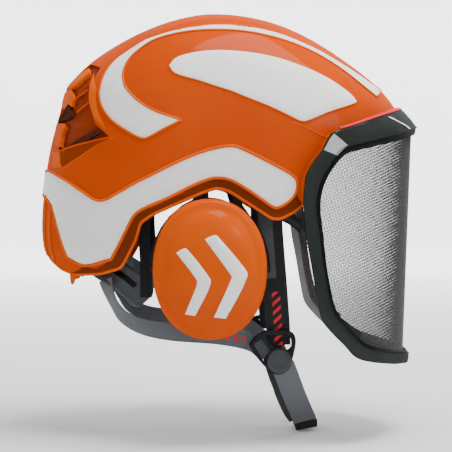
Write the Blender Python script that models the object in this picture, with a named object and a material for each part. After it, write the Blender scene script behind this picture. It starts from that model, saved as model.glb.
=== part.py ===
"""Forestry safety helmet: two-piece shell, swing-up mesh visor, hinged ear muffs and a chin strap.

The model stands upright as it is worn: +X forward, +Y to the wearer's left, +Z up.
The origin is on the mid-plane, at the centre of the head opening.
All sizes below are in millimetres. add_object() turns them into metres.
"""

import math

import bmesh
import bpy
from mathutils import Matrix, Vector

MM = 0.001
GAP = 0.3
SIDES = (("right", -1), ("left", 1))

# Shell: rows from the crown down, each (height, front x, rear x, half width).
SHELL_ROWS = (
    (158, 3, 3, 0),
    (156.5, 29, -12, 26),
    (150, 57, -36, 48),
    (138, 84, -63, 65),
    (120, 112, -91, 79),
    (100, 137, -110, 88),
    (80, 152, -116, 94),
    (50, 160, -124, 98.5),
    (15, 162, -129, 100),
    (-20, 158, -130, 98),
    (-54, 150, -122, 93),
)
SHELL_ROUNDNESS = 2.2
SHELL_WALL = 3.0
SHELL_SEGMENTS = 40

# Side-view outlines, as (x, z).
RIM = (
    (200, 103), (150, 83.6), (92, 61), (89.7, 58), (85, 48), (78, 40), (72.4, 28.5), (71.2, 21),
    (71.4, 8), (64, 2.4), (55, -2), (49, -2), (38.6, 4.7), (28, 11.5), (17.5, 18.3), (10, 20.5),
    (7, 20.7), (-2.4, 17.8), (-21, 9.8), (-40, 1.3), (-49.5, -5), (-53, -17.5), (-61.7, -34.5),
    (-65, -39.4), (-80.6, -44), (-101, -45.5), (-112, -42), (-121, -35.5), (-127, -28), (-150, -10),
)
SHELL_SPLIT = (
    (72.4, 28.5), (68, 29.4), (62.8, 32.7), (47.7, 40.2), (29.6, 49.3), (18, 52.8), (-0.5, 49.4),
    (-19.4, 42), (-38.3, 32.4), (-51.5, 25.9), (-75.4, 12.6), (-82.3, 12.6), (-106.6, 27.9),
    (-121.4, 35.1), (-150, 33.7),
)
VENT_WINDOW = (
    (-113, 50), (-72, 58.6), (-84, 69), (-89, 84.6), (-88, 100), (-81, 113), (-100, 122), (-135, 100),
)
SPINE_HALF = 9.0
LINER_DEPTHS = (7.3, 15.0)
LINER_END_ROW = 6.3

# Headband: an oval that rises towards the brow.
BAND_CENTRE_X = 10.0
BAND_LENGTH_HALF = 98.0
BAND_WIDTH_HALF = 75.2
BAND_WALL = 2.2
BAND_HEIGHT = 28.0
BAND_SLOPE = 0.354
BAND_MID_Z = 40.4

# Visor: plan curve, bars and swing axis.
VISOR_PIVOT = (22.0, 36.0)
VISOR_CENTRE_X = 74.0
VISOR_HALF_WIDTH = 101.5
VISOR_BAR_WALL = 3.2
VISOR_REACH = 90.6
VISOR_LEAN = 0.0373
VISOR_BREAK_Z = 68.0
VISOR_BROW_LEAN = 0.79
VISOR_MESH_WALL = 0.8
VISOR_MESH_SET = 1.2
# Brow and foot bars, as (plan angle, outer edge z, inner edge z).
VISOR_BROW = ((0, 82.6, 63.2), (14, 82.0, 62.2), (28, 80.4, 59.7), (42, 77.0, 55.9), (56, 72.3, 51.5))
VISOR_FOOT = ((36, -114.0, -103.4), (24, -115.4, -105.0), (12, -117.2, -106.4), (0, -118.0, -107.0))
# Side bar, as (outer edge x, z, inner edge x, z).
VISOR_SIDE = (
    (105, 66, 108, 47.8), (92.6, 61.2, 99.5, 42.8), (85.4, 49, 91.8, 33), (78, 38.6, 87.6, 25),
    (73, 28, 85.3, 18), (71.4, 8, 84, 6), (73.6, -15, 86, -13), (77.7, -38.5, 88.5, -36),
    (81.8, -62, 92.5, -59), (85.3, -77, 97, -72), (93, -87, 103.5, -80.5), (102, -96, 111, -89),
    (111, -105.5, 118.5, -95.5), (122.6, -110, 128, -99.6),
)
ARM_FACE = (81.0, 84.5)
ARM_ELBOW = (66.0, -3.6)
ARM_BOSS = (84.5, -46.0)
ARM_HEIGHT = 7.0

# Ear muffs: the cup is an upright oval.
CUP_CENTRE = (2.5, -39.4)
CUP_NECK = (36.0, 44.0)
CUSHION_OUTER = (37.5, 45.5)
CUSHION_INNER = (22.0, 30.0)
CUSHION_FACES = (78.0, 90.0)
YOKE_INNER = (39.0, 47.0)
YOKE_OUTER = (45.0, 53.0)
YOKE_FACES = (90.4, 92.4)
MUFF_AXIS = (90.5, 30.0)
TILT_AXIS_Y = 92.4
PIN_RADIUS = 1.5
BORE_RADIUS = 1.8
# Cup profile from its neck to its face, as (distance from mid-plane, half length, half height).
CUP_OUTSIDE = (
    (90.3, 36, 44), (96.2, 36, 44), (96.8, 41, 51), (100, 42, 52), (106, 41.6, 51.6), (111, 38.4, 48.4),
    (114.6, 32, 42), (116.8, 23, 32), (118, 11, 17),
)
CUP_INSIDE = ((113, 18, 25), (111, 27, 36), (106, 33, 42), (99, 33, 41), (90.3, 33, 41))

# Nape and ratchet.
NAPE_X = -97.0
KNOB_CENTRE_Z = -30.0

# Chin strap.
WEBBING_WIDTH = 18.0
REAR_WEBBING_WIDTH = 14.0
WEBBING_WALL = 1.4
BUCKLE_CENTRE = (79.5, -167.0)

# ---------------------------------------------------------------- materials

PALETTE = {
    "orange_gloss": ((0.69, 0.10, 0.004), 0.22, 0.0),
    "orange_deep": ((0.55, 0.075, 0.004), 0.35, 0.0),
    "black_satin": ((0.018, 0.022, 0.02), 0.35, 0.0),
    "black_gloss": ((0.012, 0.014, 0.014), 0.15, 0.0),
    "wire_grey": ((0.16, 0.16, 0.16), 0.5, 0.6),
    "red_rubber": ((0.55, 0.02, 0.03), 0.6, 0.0),
    "foam_black": ((0.02, 0.02, 0.022), 0.9, 0.0),
    "plastic_grey": ((0.10, 0.115, 0.125), 0.4, 0.0),
    "webbing_black": ((0.025, 0.026, 0.028), 0.85, 0.0),
    "webbing_grey": ((0.11, 0.125, 0.14), 0.85, 0.0),
    "steel": ((0.45, 0.45, 0.46), 0.3, 1.0),
}


def material(name):
    """The named material, made the first time it is asked for."""
    found = bpy.data.materials.get(name)
    if found:
        return found
    colour, roughness, metallic = PALETTE[name]
    made = bpy.data.materials.new(name)
    made.use_nodes = True
    shader = made.node_tree.nodes["Principled BSDF"]
    shader.inputs["Base Color"].default_value = (*colour, 1)
    shader.inputs["Roughness"].default_value = roughness
    shader.inputs["Metallic"].default_value = metallic
    return made


# ---------------------------------------------------------------- tools

def add_object(name, bm, finish, pivot=None):
    """Makes a node from a mesh in millimetres. pivot is the empty on its joint's axis."""
    bmesh.ops.recalc_face_normals(bm, faces=bm.faces)
    bmesh.ops.scale(bm, vec=(MM, MM, MM), verts=bm.verts)
    mesh = bpy.data.meshes.new(name)
    bm.to_mesh(mesh)
    bm.free()
    mesh.shade_smooth()
    mesh.set_sharp_from_angle(angle=math.radians(32))
    if finish:
        mesh.materials.append(material(finish))
    made = bpy.data.objects.new(name, mesh)
    bpy.context.scene.collection.objects.link(made)
    if pivot:
        mesh.transform(Matrix.Translation(-pivot.location))
        made.parent = pivot
    return made


def add_pivot(name, x, y, z):
    """An empty on a joint's axis, at a place in millimetres."""
    pivot = bpy.data.objects.new(name, None)
    pivot.location = (x * MM, y * MM, z * MM)
    bpy.context.scene.collection.objects.link(pivot)
    return pivot


def combine(target, tool, operation):
    """Keeps a Boolean on target. tool is a mesh in millimetres, shown as wire only."""
    helper = add_object(f"{target.name}.tool{len(target.modifiers)}", tool, None)
    helper.hide_render = True
    helper.display_type = "WIRE"
    step = target.modifiers.new(operation.lower(), "BOOLEAN")
    step.operation = operation
    step.object = helper
    step.solver = "EXACT"


def loft(rings, closed=False):
    """Skins a row of rings with the same number of points, and caps the ends of an open row."""
    bm = bmesh.new()
    loops = [[bm.verts.new(point) for point in ring] for ring in rings]
    following = loops[1:] + loops[:1] if closed else loops[1:]
    for near, far in zip(loops, following):
        for i in range(len(near)):
            j = (i + 1) % len(near)
            bm.faces.new((near[i], near[j], far[j], far[i]))
    if not closed:
        bm.faces.new(loops[0])
        bm.faces.new(loops[-1])
    return bm


def prism(outline, low_y, high_y):
    """A side-view outline, pushed across from low_y to high_y."""
    return loft([[(x, y, z) for x, z in outline] for y in (low_y, high_y)])


def slab(outline, side, faces):
    """A side-view outline as a plate on one side, between two distances from the mid-plane."""
    return prism(outline, side * faces[0], side * faces[1])


def box(low, high):
    """A block between two corners."""
    (x0, y0, z0), (x1, y1, z1) = low, high
    return prism(((x0, z0), (x1, z0), (x1, z1), (x0, z1)), y0, y1)


def drum(centre, axis, radius, length, segments=20):
    """A cylinder that starts at centre and runs along axis."""
    bm = bmesh.new()
    bmesh.ops.create_cone(
        bm, cap_ends=True, segments=segments, radius1=radius, radius2=radius, depth=length
    )
    turn = Vector((0, 0, 1)).rotation_difference(Vector(axis)).to_matrix().to_4x4()
    place = Matrix.Translation(Vector(centre) + Vector(axis).normalized() * length / 2)
    bmesh.ops.transform(bm, matrix=place @ turn, verts=bm.verts)
    return bm


def spline(points, steps):
    """A smooth run through the points, with the given number of steps between neighbours."""
    rows = [Vector(p) for p in points]
    rows = [2 * rows[0] - rows[1]] + rows + [2 * rows[-1] - rows[-2]]
    run = []
    for i in range(1, len(rows) - 2):
        a, b, c, d = rows[i - 1 : i + 3]
        for k in range(steps):
            t = k / steps
            run.append(
                0.5 * (2 * b + (c - a) * t + (2 * a - 5 * b + 4 * c - d) * t**2 + (3 * b - a - 3 * c + d) * t**3)
            )
    return run + [rows[-2]]


def ribbon(path, across, width, wall):
    """A flat band along a path. across gives the direction of its width at each path point."""
    rings = []
    for i, centre in enumerate(path):
        ahead = path[min(i + 1, len(path) - 1)] - path[max(i - 1, 0)]
        side = (across[i] - across[i].project(ahead)).normalized() * width / 2
        up = ahead.cross(side).normalized() * wall / 2
        rings.append([centre + side + up, centre - side + up, centre - side - up, centre + side - up])
    return loft(rings)


def webbing(points, side, steps=3, width=WEBBING_WIDTH, wall=WEBBING_WALL):
    """A strap through (x, distance from mid-plane, z, width direction) rows on one side."""
    flip = Vector((1, side, 1))
    path = spline([Vector(p) * flip for p, _ in points], steps)
    across = spline([Vector(a) * flip for _, a in points], steps)
    return ribbon(path, across, width, wall)


# ---------------------------------------------------------------- shell surface

def shell_row(s):
    """The shell's row at place s, counted from the crown, smooth between SHELL_ROWS."""
    top, first = SHELL_ROWS[0], SHELL_ROWS[1]
    mirrored = (first[0], 2 * top[1] - first[1], 2 * top[2] - first[2], -first[3])
    last = [2 * a - b for a, b in zip(SHELL_ROWS[-1], SHELL_ROWS[-2])]
    rows = [mirrored, *SHELL_ROWS, last]
    i = min(int(s), len(SHELL_ROWS) - 2)
    t = s - i
    return [
        0.5 * (2 * b + (c - a) * t + (2 * a - 5 * b + 4 * c - d) * t**2 + (3 * b - a - 3 * c + d) * t**3)
        for a, b, c, d in zip(*rows[i : i + 4])
    ]


def shell_point(s, angle):
    """A point of the outside at row s. angle is 0 at the front and 90 on the wearer's left."""
    z, front, rear, half = shell_row(s)
    turn = math.radians(angle)
    power = 2 / SHELL_ROUNDNESS
    c, d = math.cos(turn), math.sin(turn)
    x = (front + rear) / 2 + (front - rear) / 2 * math.copysign(abs(c) ** power, c)
    return Vector((x, half * math.copysign(abs(d) ** power, d), z))


def shell_depth(s, angle, depth):
    """A point that lies depth inside the shell's outside."""
    along = shell_point(s, angle + 1) - shell_point(s, angle - 1)
    down = shell_point(s + 0.02, angle) - shell_point(s - 0.02, angle)
    inward = along.cross(down).normalized()
    point = shell_point(s, angle)
    centre = Vector((15, 0, 20))
    if inward.dot(centre - point) < 0:
        inward.negate()
    return point + inward * depth


def dome(outer, inner, end_row, segments, rows_per_knot):
    """A bowl between two depths, from the crown to end_row, open below."""
    places = [0.5] + [1 + k / rows_per_knot for k in range(int((end_row - 1) * rows_per_knot) + 1)]
    if places[-1] < end_row - 0.05:
        places.append(end_row)
    bm = bmesh.new()
    skins = []
    for depth in (outer, inner):
        top = SHELL_ROWS[0]
        pole = bm.verts.new((top[1], 0, top[0] - depth))
        loops = [
            [bm.verts.new(shell_depth(s, 360 * k / segments, depth)) for k in range(segments)]
            for s in places
        ]
        for k in range(segments):
            j = (k + 1) % segments
            bm.faces.new((pole, loops[0][k], loops[0][j]))
            for near, far in zip(loops, loops[1:]):
                bm.faces.new((near[k], far[k], far[j], near[j]))
        skins.append(loops[-1])
    for k in range(segments):
        j = (k + 1) % segments
        bm.faces.new((skins[0][k], skins[1][k], skins[1][j], skins[0][j]))
    return bm


# ---------------------------------------------------------------- shells, vents and liner

def build_shells():
    crown_keep = list(RIM[:6]) + [(x, z + GAP / 2) for x, z in SHELL_SPLIT]
    crown_keep += [(-200, 34), (-200, 220), (200, 220)]
    crown = add_object("crown_shell", dome(0, SHELL_WALL, 10, SHELL_SEGMENTS, 2), "orange_gloss")
    combine(crown, prism(crown_keep, -130, 130), "INTERSECT")
    for side in (-1, 1):
        combine(crown, slab(VENT_WINDOW, side, (SPINE_HALF, 110)), "DIFFERENCE")

    side_keep = list(RIM[7:]) + [(-200, -10), (-200, 33.5)]
    side_keep += [(x, z - GAP / 2) for x, z in reversed(SHELL_SPLIT)]
    lower = add_object("side_shell", dome(0, SHELL_WALL, 10, SHELL_SEGMENTS, 2), "orange_gloss")
    combine(lower, prism(side_keep, -130, 130), "INTERSECT")


def build_vent_insert():
    """A curved plate behind the two rear windows."""
    angles = [117 + 126 * k / 10 for k in range(11)]
    places = [3.7 + 3.3 * k / 6 for k in range(7)]
    bm = bmesh.new()
    skins = [
        [[bm.verts.new(shell_depth(s, a, depth)) for a in angles] for s in places]
        for depth in (SHELL_WALL + 1, SHELL_WALL + 3)
    ]
    outer, inner = skins
    for grid in skins:
        for i in range(len(places) - 1):
            for j in range(len(angles) - 1):
                bm.faces.new((grid[i][j], grid[i + 1][j], grid[i + 1][j + 1], grid[i][j + 1]))
    rows, columns = len(places) - 1, len(angles) - 1
    for j in range(columns):
        for i in (0, rows):
            bm.faces.new((outer[i][j], outer[i][j + 1], inner[i][j + 1], inner[i][j]))
    for i in range(rows):
        for j in (0, columns):
            bm.faces.new((outer[i][j], outer[i + 1][j], inner[i + 1][j], inner[i][j]))
    add_object("vent_insert", bm, "orange_deep")


def build_liner():
    add_object("impact_liner", dome(*LINER_DEPTHS, LINER_END_ROW, 24, 1), "foam_black")


# ---------------------------------------------------------------- head harness

def band_point(angle, inset, height):
    """A point of the headband. inset moves in from its outside, height up from its middle."""
    turn = math.radians(angle)
    x = BAND_CENTRE_X + (BAND_LENGTH_HALF + BAND_WALL - inset) * math.cos(turn)
    y = (BAND_WIDTH_HALF + BAND_WALL - inset) * math.sin(turn)
    return (x, y, BAND_MID_Z + (x - BAND_CENTRE_X) * BAND_SLOPE + height)


def band_ring(angle, inset, wall, height):
    return [
        band_point(angle, inset, height / 2),
        band_point(angle, inset, -height / 2),
        band_point(angle, inset + wall, -height / 2),
        band_point(angle, inset + wall, height / 2),
    ]


def build_harness():
    turns = [360 * k / 40 for k in range(40)]
    hoop = loft([band_ring(a, 0, BAND_WALL, BAND_HEIGHT) for a in turns], closed=True)
    add_object("headband", hoop, "black_satin")
    pad_turns = [9 * k for k in range(-7, 8)]
    pad = loft([band_ring(a, BAND_WALL + GAP, 4.0, BAND_HEIGHT + 4) for a in pad_turns])
    add_object("brow_pad", pad, "foam_black")

    # Two straps cross over the head: one from ear to ear, one from brow to nape below it.
    cross_rows = [6.6, 6, 5, 4, 3, 2, 1.3]
    arch = [shell_depth(s, 90, 19.5) for s in cross_rows]
    arch = arch + [Vector((3, 0, 158 - 19.5))] + [Vector((p.x, -p.y, p.z)) for p in reversed(arch)]
    add_object("crown_strap_cross", ribbon(arch, [Vector((1, 0, 0))] * len(arch), 24, 1.5), "webbing_black")
    front = [shell_depth(s, 0, 22.5) for s in (5.9, 5, 4, 3, 2, 1.3)]
    rear = [shell_depth(s, 180, 22.5) for s in (1.3, 2, 3, 4, 5, 6, 7)]
    ridge = front + [Vector((3, 0, 158 - 22.5))] + rear
    add_object("crown_strap_long", ribbon(ridge, [Vector((0, 1, 0))] * len(ridge), 24, 1.5), "webbing_black")

    for name, side in SIDES:
        forward = Vector((1, 0, 0))
        front_clip = [((47, 75.6, 52), forward), ((47, 75.8, 63), forward), ((47, 75.6, 74), forward)]
        rear_clip = [((-60, 61.4, 14), forward), ((-60, 61.4, 42), forward), ((-60, 59.0, 70), forward)]
        add_object(f"hanger_front_{name}", webbing(front_clip, side, 1, 12, 2), "black_satin")
        add_object(f"hanger_rear_{name}", webbing(rear_clip, side, 1, 10, 2), "black_satin")


# ---------------------------------------------------------------- visor

def visor_reach(z):
    """How far the plan curve runs ahead of its centre at a height."""
    if z <= VISOR_BREAK_Z:
        return VISOR_REACH + (z - VISOR_BREAK_Z) * VISOR_LEAN
    return VISOR_REACH - (z - VISOR_BREAK_Z) * VISOR_BROW_LEAN


def visor_angle(x, z):
    """Plan angle of a side-view place. Past 90 degrees the side runs straight back."""
    c = (x - VISOR_CENTRE_X) / visor_reach(z)
    if c < 0:
        return 90 + (VISOR_CENTRE_X - x)
    return math.degrees(math.acos(min(c, 1)))


def visor_point(angle, z, proud):
    """A point of the visor's curve, proud millimetres outside it. angle past 90 counts millimetres."""
    straight = max(abs(angle) - 90, 0)
    turn = math.radians(min(abs(angle), 90))
    reach = visor_reach(z)
    outward = Vector((math.cos(turn) / reach, math.sin(turn) / VISOR_HALF_WIDTH, 0)).normalized()
    point = Vector((reach * math.cos(turn), VISOR_HALF_WIDTH * math.sin(turn), z)) + outward * proud
    return Vector((VISOR_CENTRE_X + point.x - straight, math.copysign(point.y, angle), z))


def visor_stations():
    """The half loop from brow to foot, as ((outer angle, z), (inner angle, z))."""
    half = [((a, outer), (a, inner)) for a, outer, inner in VISOR_BROW]
    half += [((visor_angle(a, b), b), (visor_angle(c, d), d)) for a, b, c, d in VISOR_SIDE]
    return half + [((a, outer), (a, inner)) for a, outer, inner in VISOR_FOOT]


def build_visor(pivot):
    half = visor_stations()
    loop = [(side, pair) for side, pairs in ((-1, half), (1, half[-2:0:-1])) for pair in pairs]
    rings = []
    for side, ((outer_angle, outer_z), (inner_angle, inner_z)) in loop:
        rings.append([
            visor_point(side * outer_angle, outer_z, 0),
            visor_point(side * outer_angle, outer_z, VISOR_BAR_WALL),
            visor_point(side * inner_angle, inner_z, VISOR_BAR_WALL),
            visor_point(side * inner_angle, inner_z, 0),
        ])
    add_object("visor_frame", loft(rings, closed=True), "black_gloss", pivot)

    # The mesh sheet lies behind the frame and reaches most of the way across its bars.
    columns = 12
    bm = bmesh.new()
    skins = []
    for depth in (-VISOR_MESH_SET, -VISOR_MESH_SET - VISOR_MESH_WALL):
        grid = []
        for k, ((outer_angle, outer_z), (inner_angle, inner_z)) in enumerate(half[3:-1]):
            share = (0.15, 0.15, 0.15, 0.3)[k] if k < 4 else 0.6
            z = inner_z + (outer_z - inner_z) * share
            reach = inner_angle + (outer_angle - inner_angle) * share
            grid.append([
                bm.verts.new(visor_point(reach * (1 - 2 * c / columns) or 0.001, min(z, 66), depth))
                for c in range(columns + 1)
            ])
        skins.append(grid)
    outer, inner = skins
    rows = len(outer) - 1
    for grid in skins:
        for i in range(rows):
            for j in range(columns):
                bm.faces.new((grid[i][j], grid[i + 1][j], grid[i + 1][j + 1], grid[i][j + 1]))
    for j in range(columns):
        for i in (0, rows):
            bm.faces.new((outer[i][j], outer[i][j + 1], inner[i][j + 1], inner[i][j]))
    for i in range(rows):
        for j in (0, columns):
            bm.faces.new((outer[i][j], outer[i + 1][j], inner[i + 1][j], inner[i][j]))
    add_object("visor_mesh", bm, "wire_grey", pivot)

    # A seal runs along the top edge of the brow bar.
    brow = [(side * a, z) for side, rows in ((-1, VISOR_BROW[::-1]), (1, VISOR_BROW[1:])) for a, z, _ in rows]
    rings = []
    for angle, z in brow:
        rings.append([
            visor_point(angle, z, 0.2) + Vector((0, 0, GAP)),
            visor_point(angle, z, 2.6) + Vector((0, 0, GAP)),
            visor_point(angle, z, 2.0) + Vector((0, 0, GAP + 1.5)),
            visor_point(angle, z, 0.6) + Vector((0, 0, GAP + 1.5)),
        ])
    add_object("brow_seal", loft(rings), "red_rubber", pivot)


def arm_outline():
    """The arm from its eye, forward to the elbow and down behind the side bar."""
    px, pz = VISOR_PIVOT
    eye = 7.5
    half = ARM_HEIGHT / 2
    round_eye = [
        (px + eye * math.cos(math.radians(a)), pz + eye * math.sin(math.radians(a)))
        for a in range(30, 301, 30)
    ]
    ex, ez = ARM_ELBOW
    bx, bz = ARM_BOSS
    foot = [
        (bx + half * math.cos(math.radians(a)), bz + half * math.sin(math.radians(a)))
        for a in range(200, 381, 30)
    ]
    lower = [(ex - 3.5, ez - 2.4), (ex + 8, ez - 10), (ex + 12.5, ez - 20)]
    upper = [(ex + 20, ez - 20), (ex + 14.5, ez - 5), (ex + 0.5, ez + 4.4)]
    return round_eye + lower + foot + upper


def build_visor_arms(pivot):
    px, pz = VISOR_PIVOT
    for name, side in SIDES:
        arm = add_object(f"visor_arm_{name}", slab(arm_outline(), side, ARM_FACE), "black_gloss", pivot)
        boss_x, boss_z = ARM_BOSS
        boss = drum((boss_x, side * 83, boss_z), (0, side, 0), 3.2, 97.4 - 83, 16)
        combine(arm, boss, "UNION")
        combine(arm, drum((px, side * 75, pz), (0, side, 0), 5.4, 20), "DIFFERENCE")
        hub = add_object(f"visor_hub_{name}", drum((px, side * 79, pz), (0, side, 0), 5, 5.7), "steel")
        combine(hub, drum((px, side * 78.9, pz), (0, side, 0), 7.6, 1.7), "UNION")
        screw = drum((boss_x, side * 78.9, boss_z), (0, side, 0), 3, 1.8, 12)
        add_object(f"visor_screw_{name}", screw, "steel", pivot)


# ---------------------------------------------------------------- ear muffs

def oval(half_length, half_height, distance, side, segments=28):
    """An upright ring round the cup's centre, at a distance from the mid-plane."""
    cx, cz = CUP_CENTRE
    return [
        (
            cx + half_length * math.cos(2 * math.pi * k / segments),
            side * distance,
            cz + half_height * math.sin(2 * math.pi * k / segments),
        )
        for k in range(segments)
    ]


def yoke_outline():
    """An upside-down U round the cup's neck, whose two legs meet at the hinge barrel."""
    cx, cz = CUP_CENTRE

    def arc(size, first, last, step):
        return [
            (cx + size[0] * math.cos(math.radians(a)), cz + size[1] * math.sin(math.radians(a)))
            for a in range(first, last + (1 if step > 0 else -1), step)
        ]

    front_outer = arc(YOKE_OUTER, 0, 48, 12)
    front_inner = arc(YOKE_INNER, 50, 0, -10)
    rear_outer = arc(YOKE_OUTER, 180, 108, -12)
    rear_inner = arc(YOKE_INNER, 90, 180, 10)
    bridge_front = [(27, 8), (25, 16), (17.5, 27), (17.5, 31)]
    bridge_rear = [(-9.5, 31), (-9.5, 26), (-7.5, 16)]
    inside = [(1.5, 16), (1.5, 22), (4, 25.5), (11, 25.5), (18, 16), (21, 6)]
    return front_outer + bridge_front + bridge_rear + rear_outer[::-1] + rear_inner[::-1] + inside + front_inner


def build_muff(name, side, yoke_pivot, cup_pivot):
    cx, cz = CUP_CENTRE
    axis_y, axis_z = MUFF_AXIS

    yoke = add_object(f"muff_yoke_{name}", slab(yoke_outline(), side, YOKE_FACES), "black_satin", yoke_pivot)
    combine(yoke, drum((-10, side * axis_y, axis_z), (1, 0, 0), 3.2, 28, 16), "UNION")
    for start in (cx - 45, cx + 39.4):
        combine(yoke, drum((start, side * TILT_AXIS_Y, cz), (1, 0, 0), 2.8, 5.6, 16), "UNION")
    combine(yoke, drum((-15, side * axis_y, axis_z), (1, 0, 0), BORE_RADIUS, 40, 12), "DIFFERENCE")
    combine(yoke, drum((cx - 50, side * TILT_AXIS_Y, cz), (1, 0, 0), BORE_RADIUS, 100, 12), "DIFFERENCE")

    outside = [oval(a, b, d, side) for d, a, b in CUP_OUTSIDE]
    inside = [oval(a, b, d, side) for d, a, b in CUP_INSIDE]
    cup = add_object(f"cup_shell_{name}", bowl(outside, inside), "orange_gloss", cup_pivot)
    combine(cup, drum((cx - 50, side * TILT_AXIS_Y, cz), (1, 0, 0), BORE_RADIUS, 100, 12), "DIFFERENCE")
    for place, start in (("front", cx + 33.8), ("rear", cx - 33.8 - 10.8)):
        pin = drum((start, side * TILT_AXIS_Y, cz), (1, 0, 0), PIN_RADIUS, 10.8, 12)
        add_object(f"cup_pin_{place}_{name}", pin, "steel", yoke_pivot)

    foam = loft([oval(a, b, d, side, 20) for d, a, b in ((98.6, 29, 37), (105, 29, 38), (109.5, 23, 31))])
    add_object(f"cup_foam_{name}", foam, "foam_black", cup_pivot)

    near, far = CUSHION_FACES
    (ox, oz), (ix, iz) = CUSHION_OUTER, CUSHION_INNER
    section = (
        (ox, oz, far), (ox, oz, near + 4), (ox - 1.2, oz - 1.2, near + 1.4), (ox - 4, oz - 4, near),
        (ix + 3.5, iz + 3.5, near), (ix + 0.8, iz + 0.8, near + 1.2), (ix, iz, near + 4), (ix, iz, far),
    )
    rings = [oval(a, b, d, side) for a, b, d in section]
    around = [[ring[k] for ring in rings] for k in range(len(rings[0]))]
    add_object(f"ear_cushion_{name}", loft(around, closed=True), "foam_black", cup_pivot)


def bowl(outside, inside):
    """A hollow cup: outside runs from its mouth to its face, inside runs back to the mouth."""
    bm = bmesh.new()
    loops = [[bm.verts.new(p) for p in ring] for ring in list(outside) + list(inside)]
    count = len(outside)
    for a in range(len(loops)):
        if a == count - 1:
            continue
        b = (a + 1) % len(loops)
        for i in range(len(loops[a])):
            j = (i + 1) % len(loops[a])
            bm.faces.new((loops[a][i], loops[a][j], loops[b][j], loops[b][i]))
    bm.faces.new(loops[count - 1])
    bm.faces.new(loops[count])
    return bm


def build_carrier(name, side):
    """The plate inside the shell that holds the visor's hub and the muff's hinge."""
    axis_y, axis_z = MUFF_AXIS
    outline = ((-30, 24), (18, 24), (22, 18), (58, 18), (58, 50), (-30, 50))
    carrier = add_object(f"side_carrier_{name}", slab(outline, side, (85, 86.8)), "black_satin")
    for x0, x1 in ((-16, -10.6), (18.6, 24)):
        corners = sorted((side * 86, side * 93.6))
        combine(carrier, box((x0, corners[0], 26), (x1, corners[1], 34.4)), "UNION")
    combine(carrier, drum((-20, side * axis_y, axis_z), (1, 0, 0), BORE_RADIUS, 50, 12), "DIFFERENCE")
    pin = drum((-17, side * axis_y, axis_z), (1, 0, 0), PIN_RADIUS, 42, 12)
    add_object(f"muff_hinge_pin_{name}", pin, "steel")


# ---------------------------------------------------------------- nape

def build_nape(knob_pivot):
    wing = [
        ((-45.5, 66, -65), (0.72, 0, 0.62)), ((-56, 64.5, -54), (0.72, 0, 0.66)),
        ((-69, 60, -44.5), (0.5, 0, 0.8)), ((-83, 48, -37), (0.2, 0, 1)),
        ((-93.5, 28, -32), (0, 0, 1)), ((NAPE_X, 8, KNOB_CENTRE_Z), (0, 0, 1)),
    ]
    whole = [(Vector((x, -y, z)), Vector(a)) for (x, y, z), a in wing]
    whole += [(Vector((x, y, z)), Vector(a)) for (x, y, z), a in reversed(wing)]
    path = spline([p for p, _ in whole], 2)
    across = spline([a for _, a in whole], 2)
    add_object("nape_cradle", ribbon(path, across, 22, 2.6), "plastic_grey")

    pad_path = [p + Vector((4.4, 0, 0)) for p in path if abs(p.y) < 30]
    add_object("nape_pad", ribbon(pad_path, [Vector((0, 0, 1))] * len(pad_path), 24, 4), "foam_black")

    back = NAPE_X - 2.5
    housing = add_object("ratchet_housing", drum((back, 0, KNOB_CENTRE_Z), (-1, 0, 0), 13, 4.6, 28), "black_satin")
    combine(housing, drum((back - 1.4, 0, KNOB_CENTRE_Z), (-1, 0, 0), 8, 8, 28), "DIFFERENCE")
    teeth = 16
    pinion = [
        (0, (6.6 if k % 2 else 5.6) * math.cos(math.pi * k / teeth), (6.6 if k % 2 else 5.6) * math.sin(math.pi * k / teeth))
        for k in range(2 * teeth)
    ]
    rings = [[(x, y, z + KNOB_CENTRE_Z) for _, y, z in pinion] for x in (back - 1.9, back - 4.6)]
    add_object("ratchet_pinion", loft(rings), "plastic_grey", knob_pivot)
    knob_face = back - 4.6 - GAP
    ribs = 18
    rings = []
    for x, radius in ((knob_face, 11.4), (knob_face - 5.5, 11.8), (knob_face - 7, 10.2)):
        rings.append([
            (
                x,
                (radius - (k % 2) * 0.9) * math.cos(math.pi * k / ribs),
                KNOB_CENTRE_Z + (radius - (k % 2) * 0.9) * math.sin(math.pi * k / ribs),
            )
            for k in range(2 * ribs)
        ])
    add_object("ratchet_knob", loft(rings), "black_satin", knob_pivot)

    for name, side in SIDES:
        forward = (1, 0, 0)
        arm = [((-47.5, 71, 20), forward), ((-47.5, 71, -8), forward), ((-45.5, 70.4, -38), forward),
               ((-45.6, 70, -62), forward)]
        add_object(f"cradle_arm_{name}", webbing(arm, side, 2, 9, 2.8), "black_satin")


# ---------------------------------------------------------------- chin strap

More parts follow.
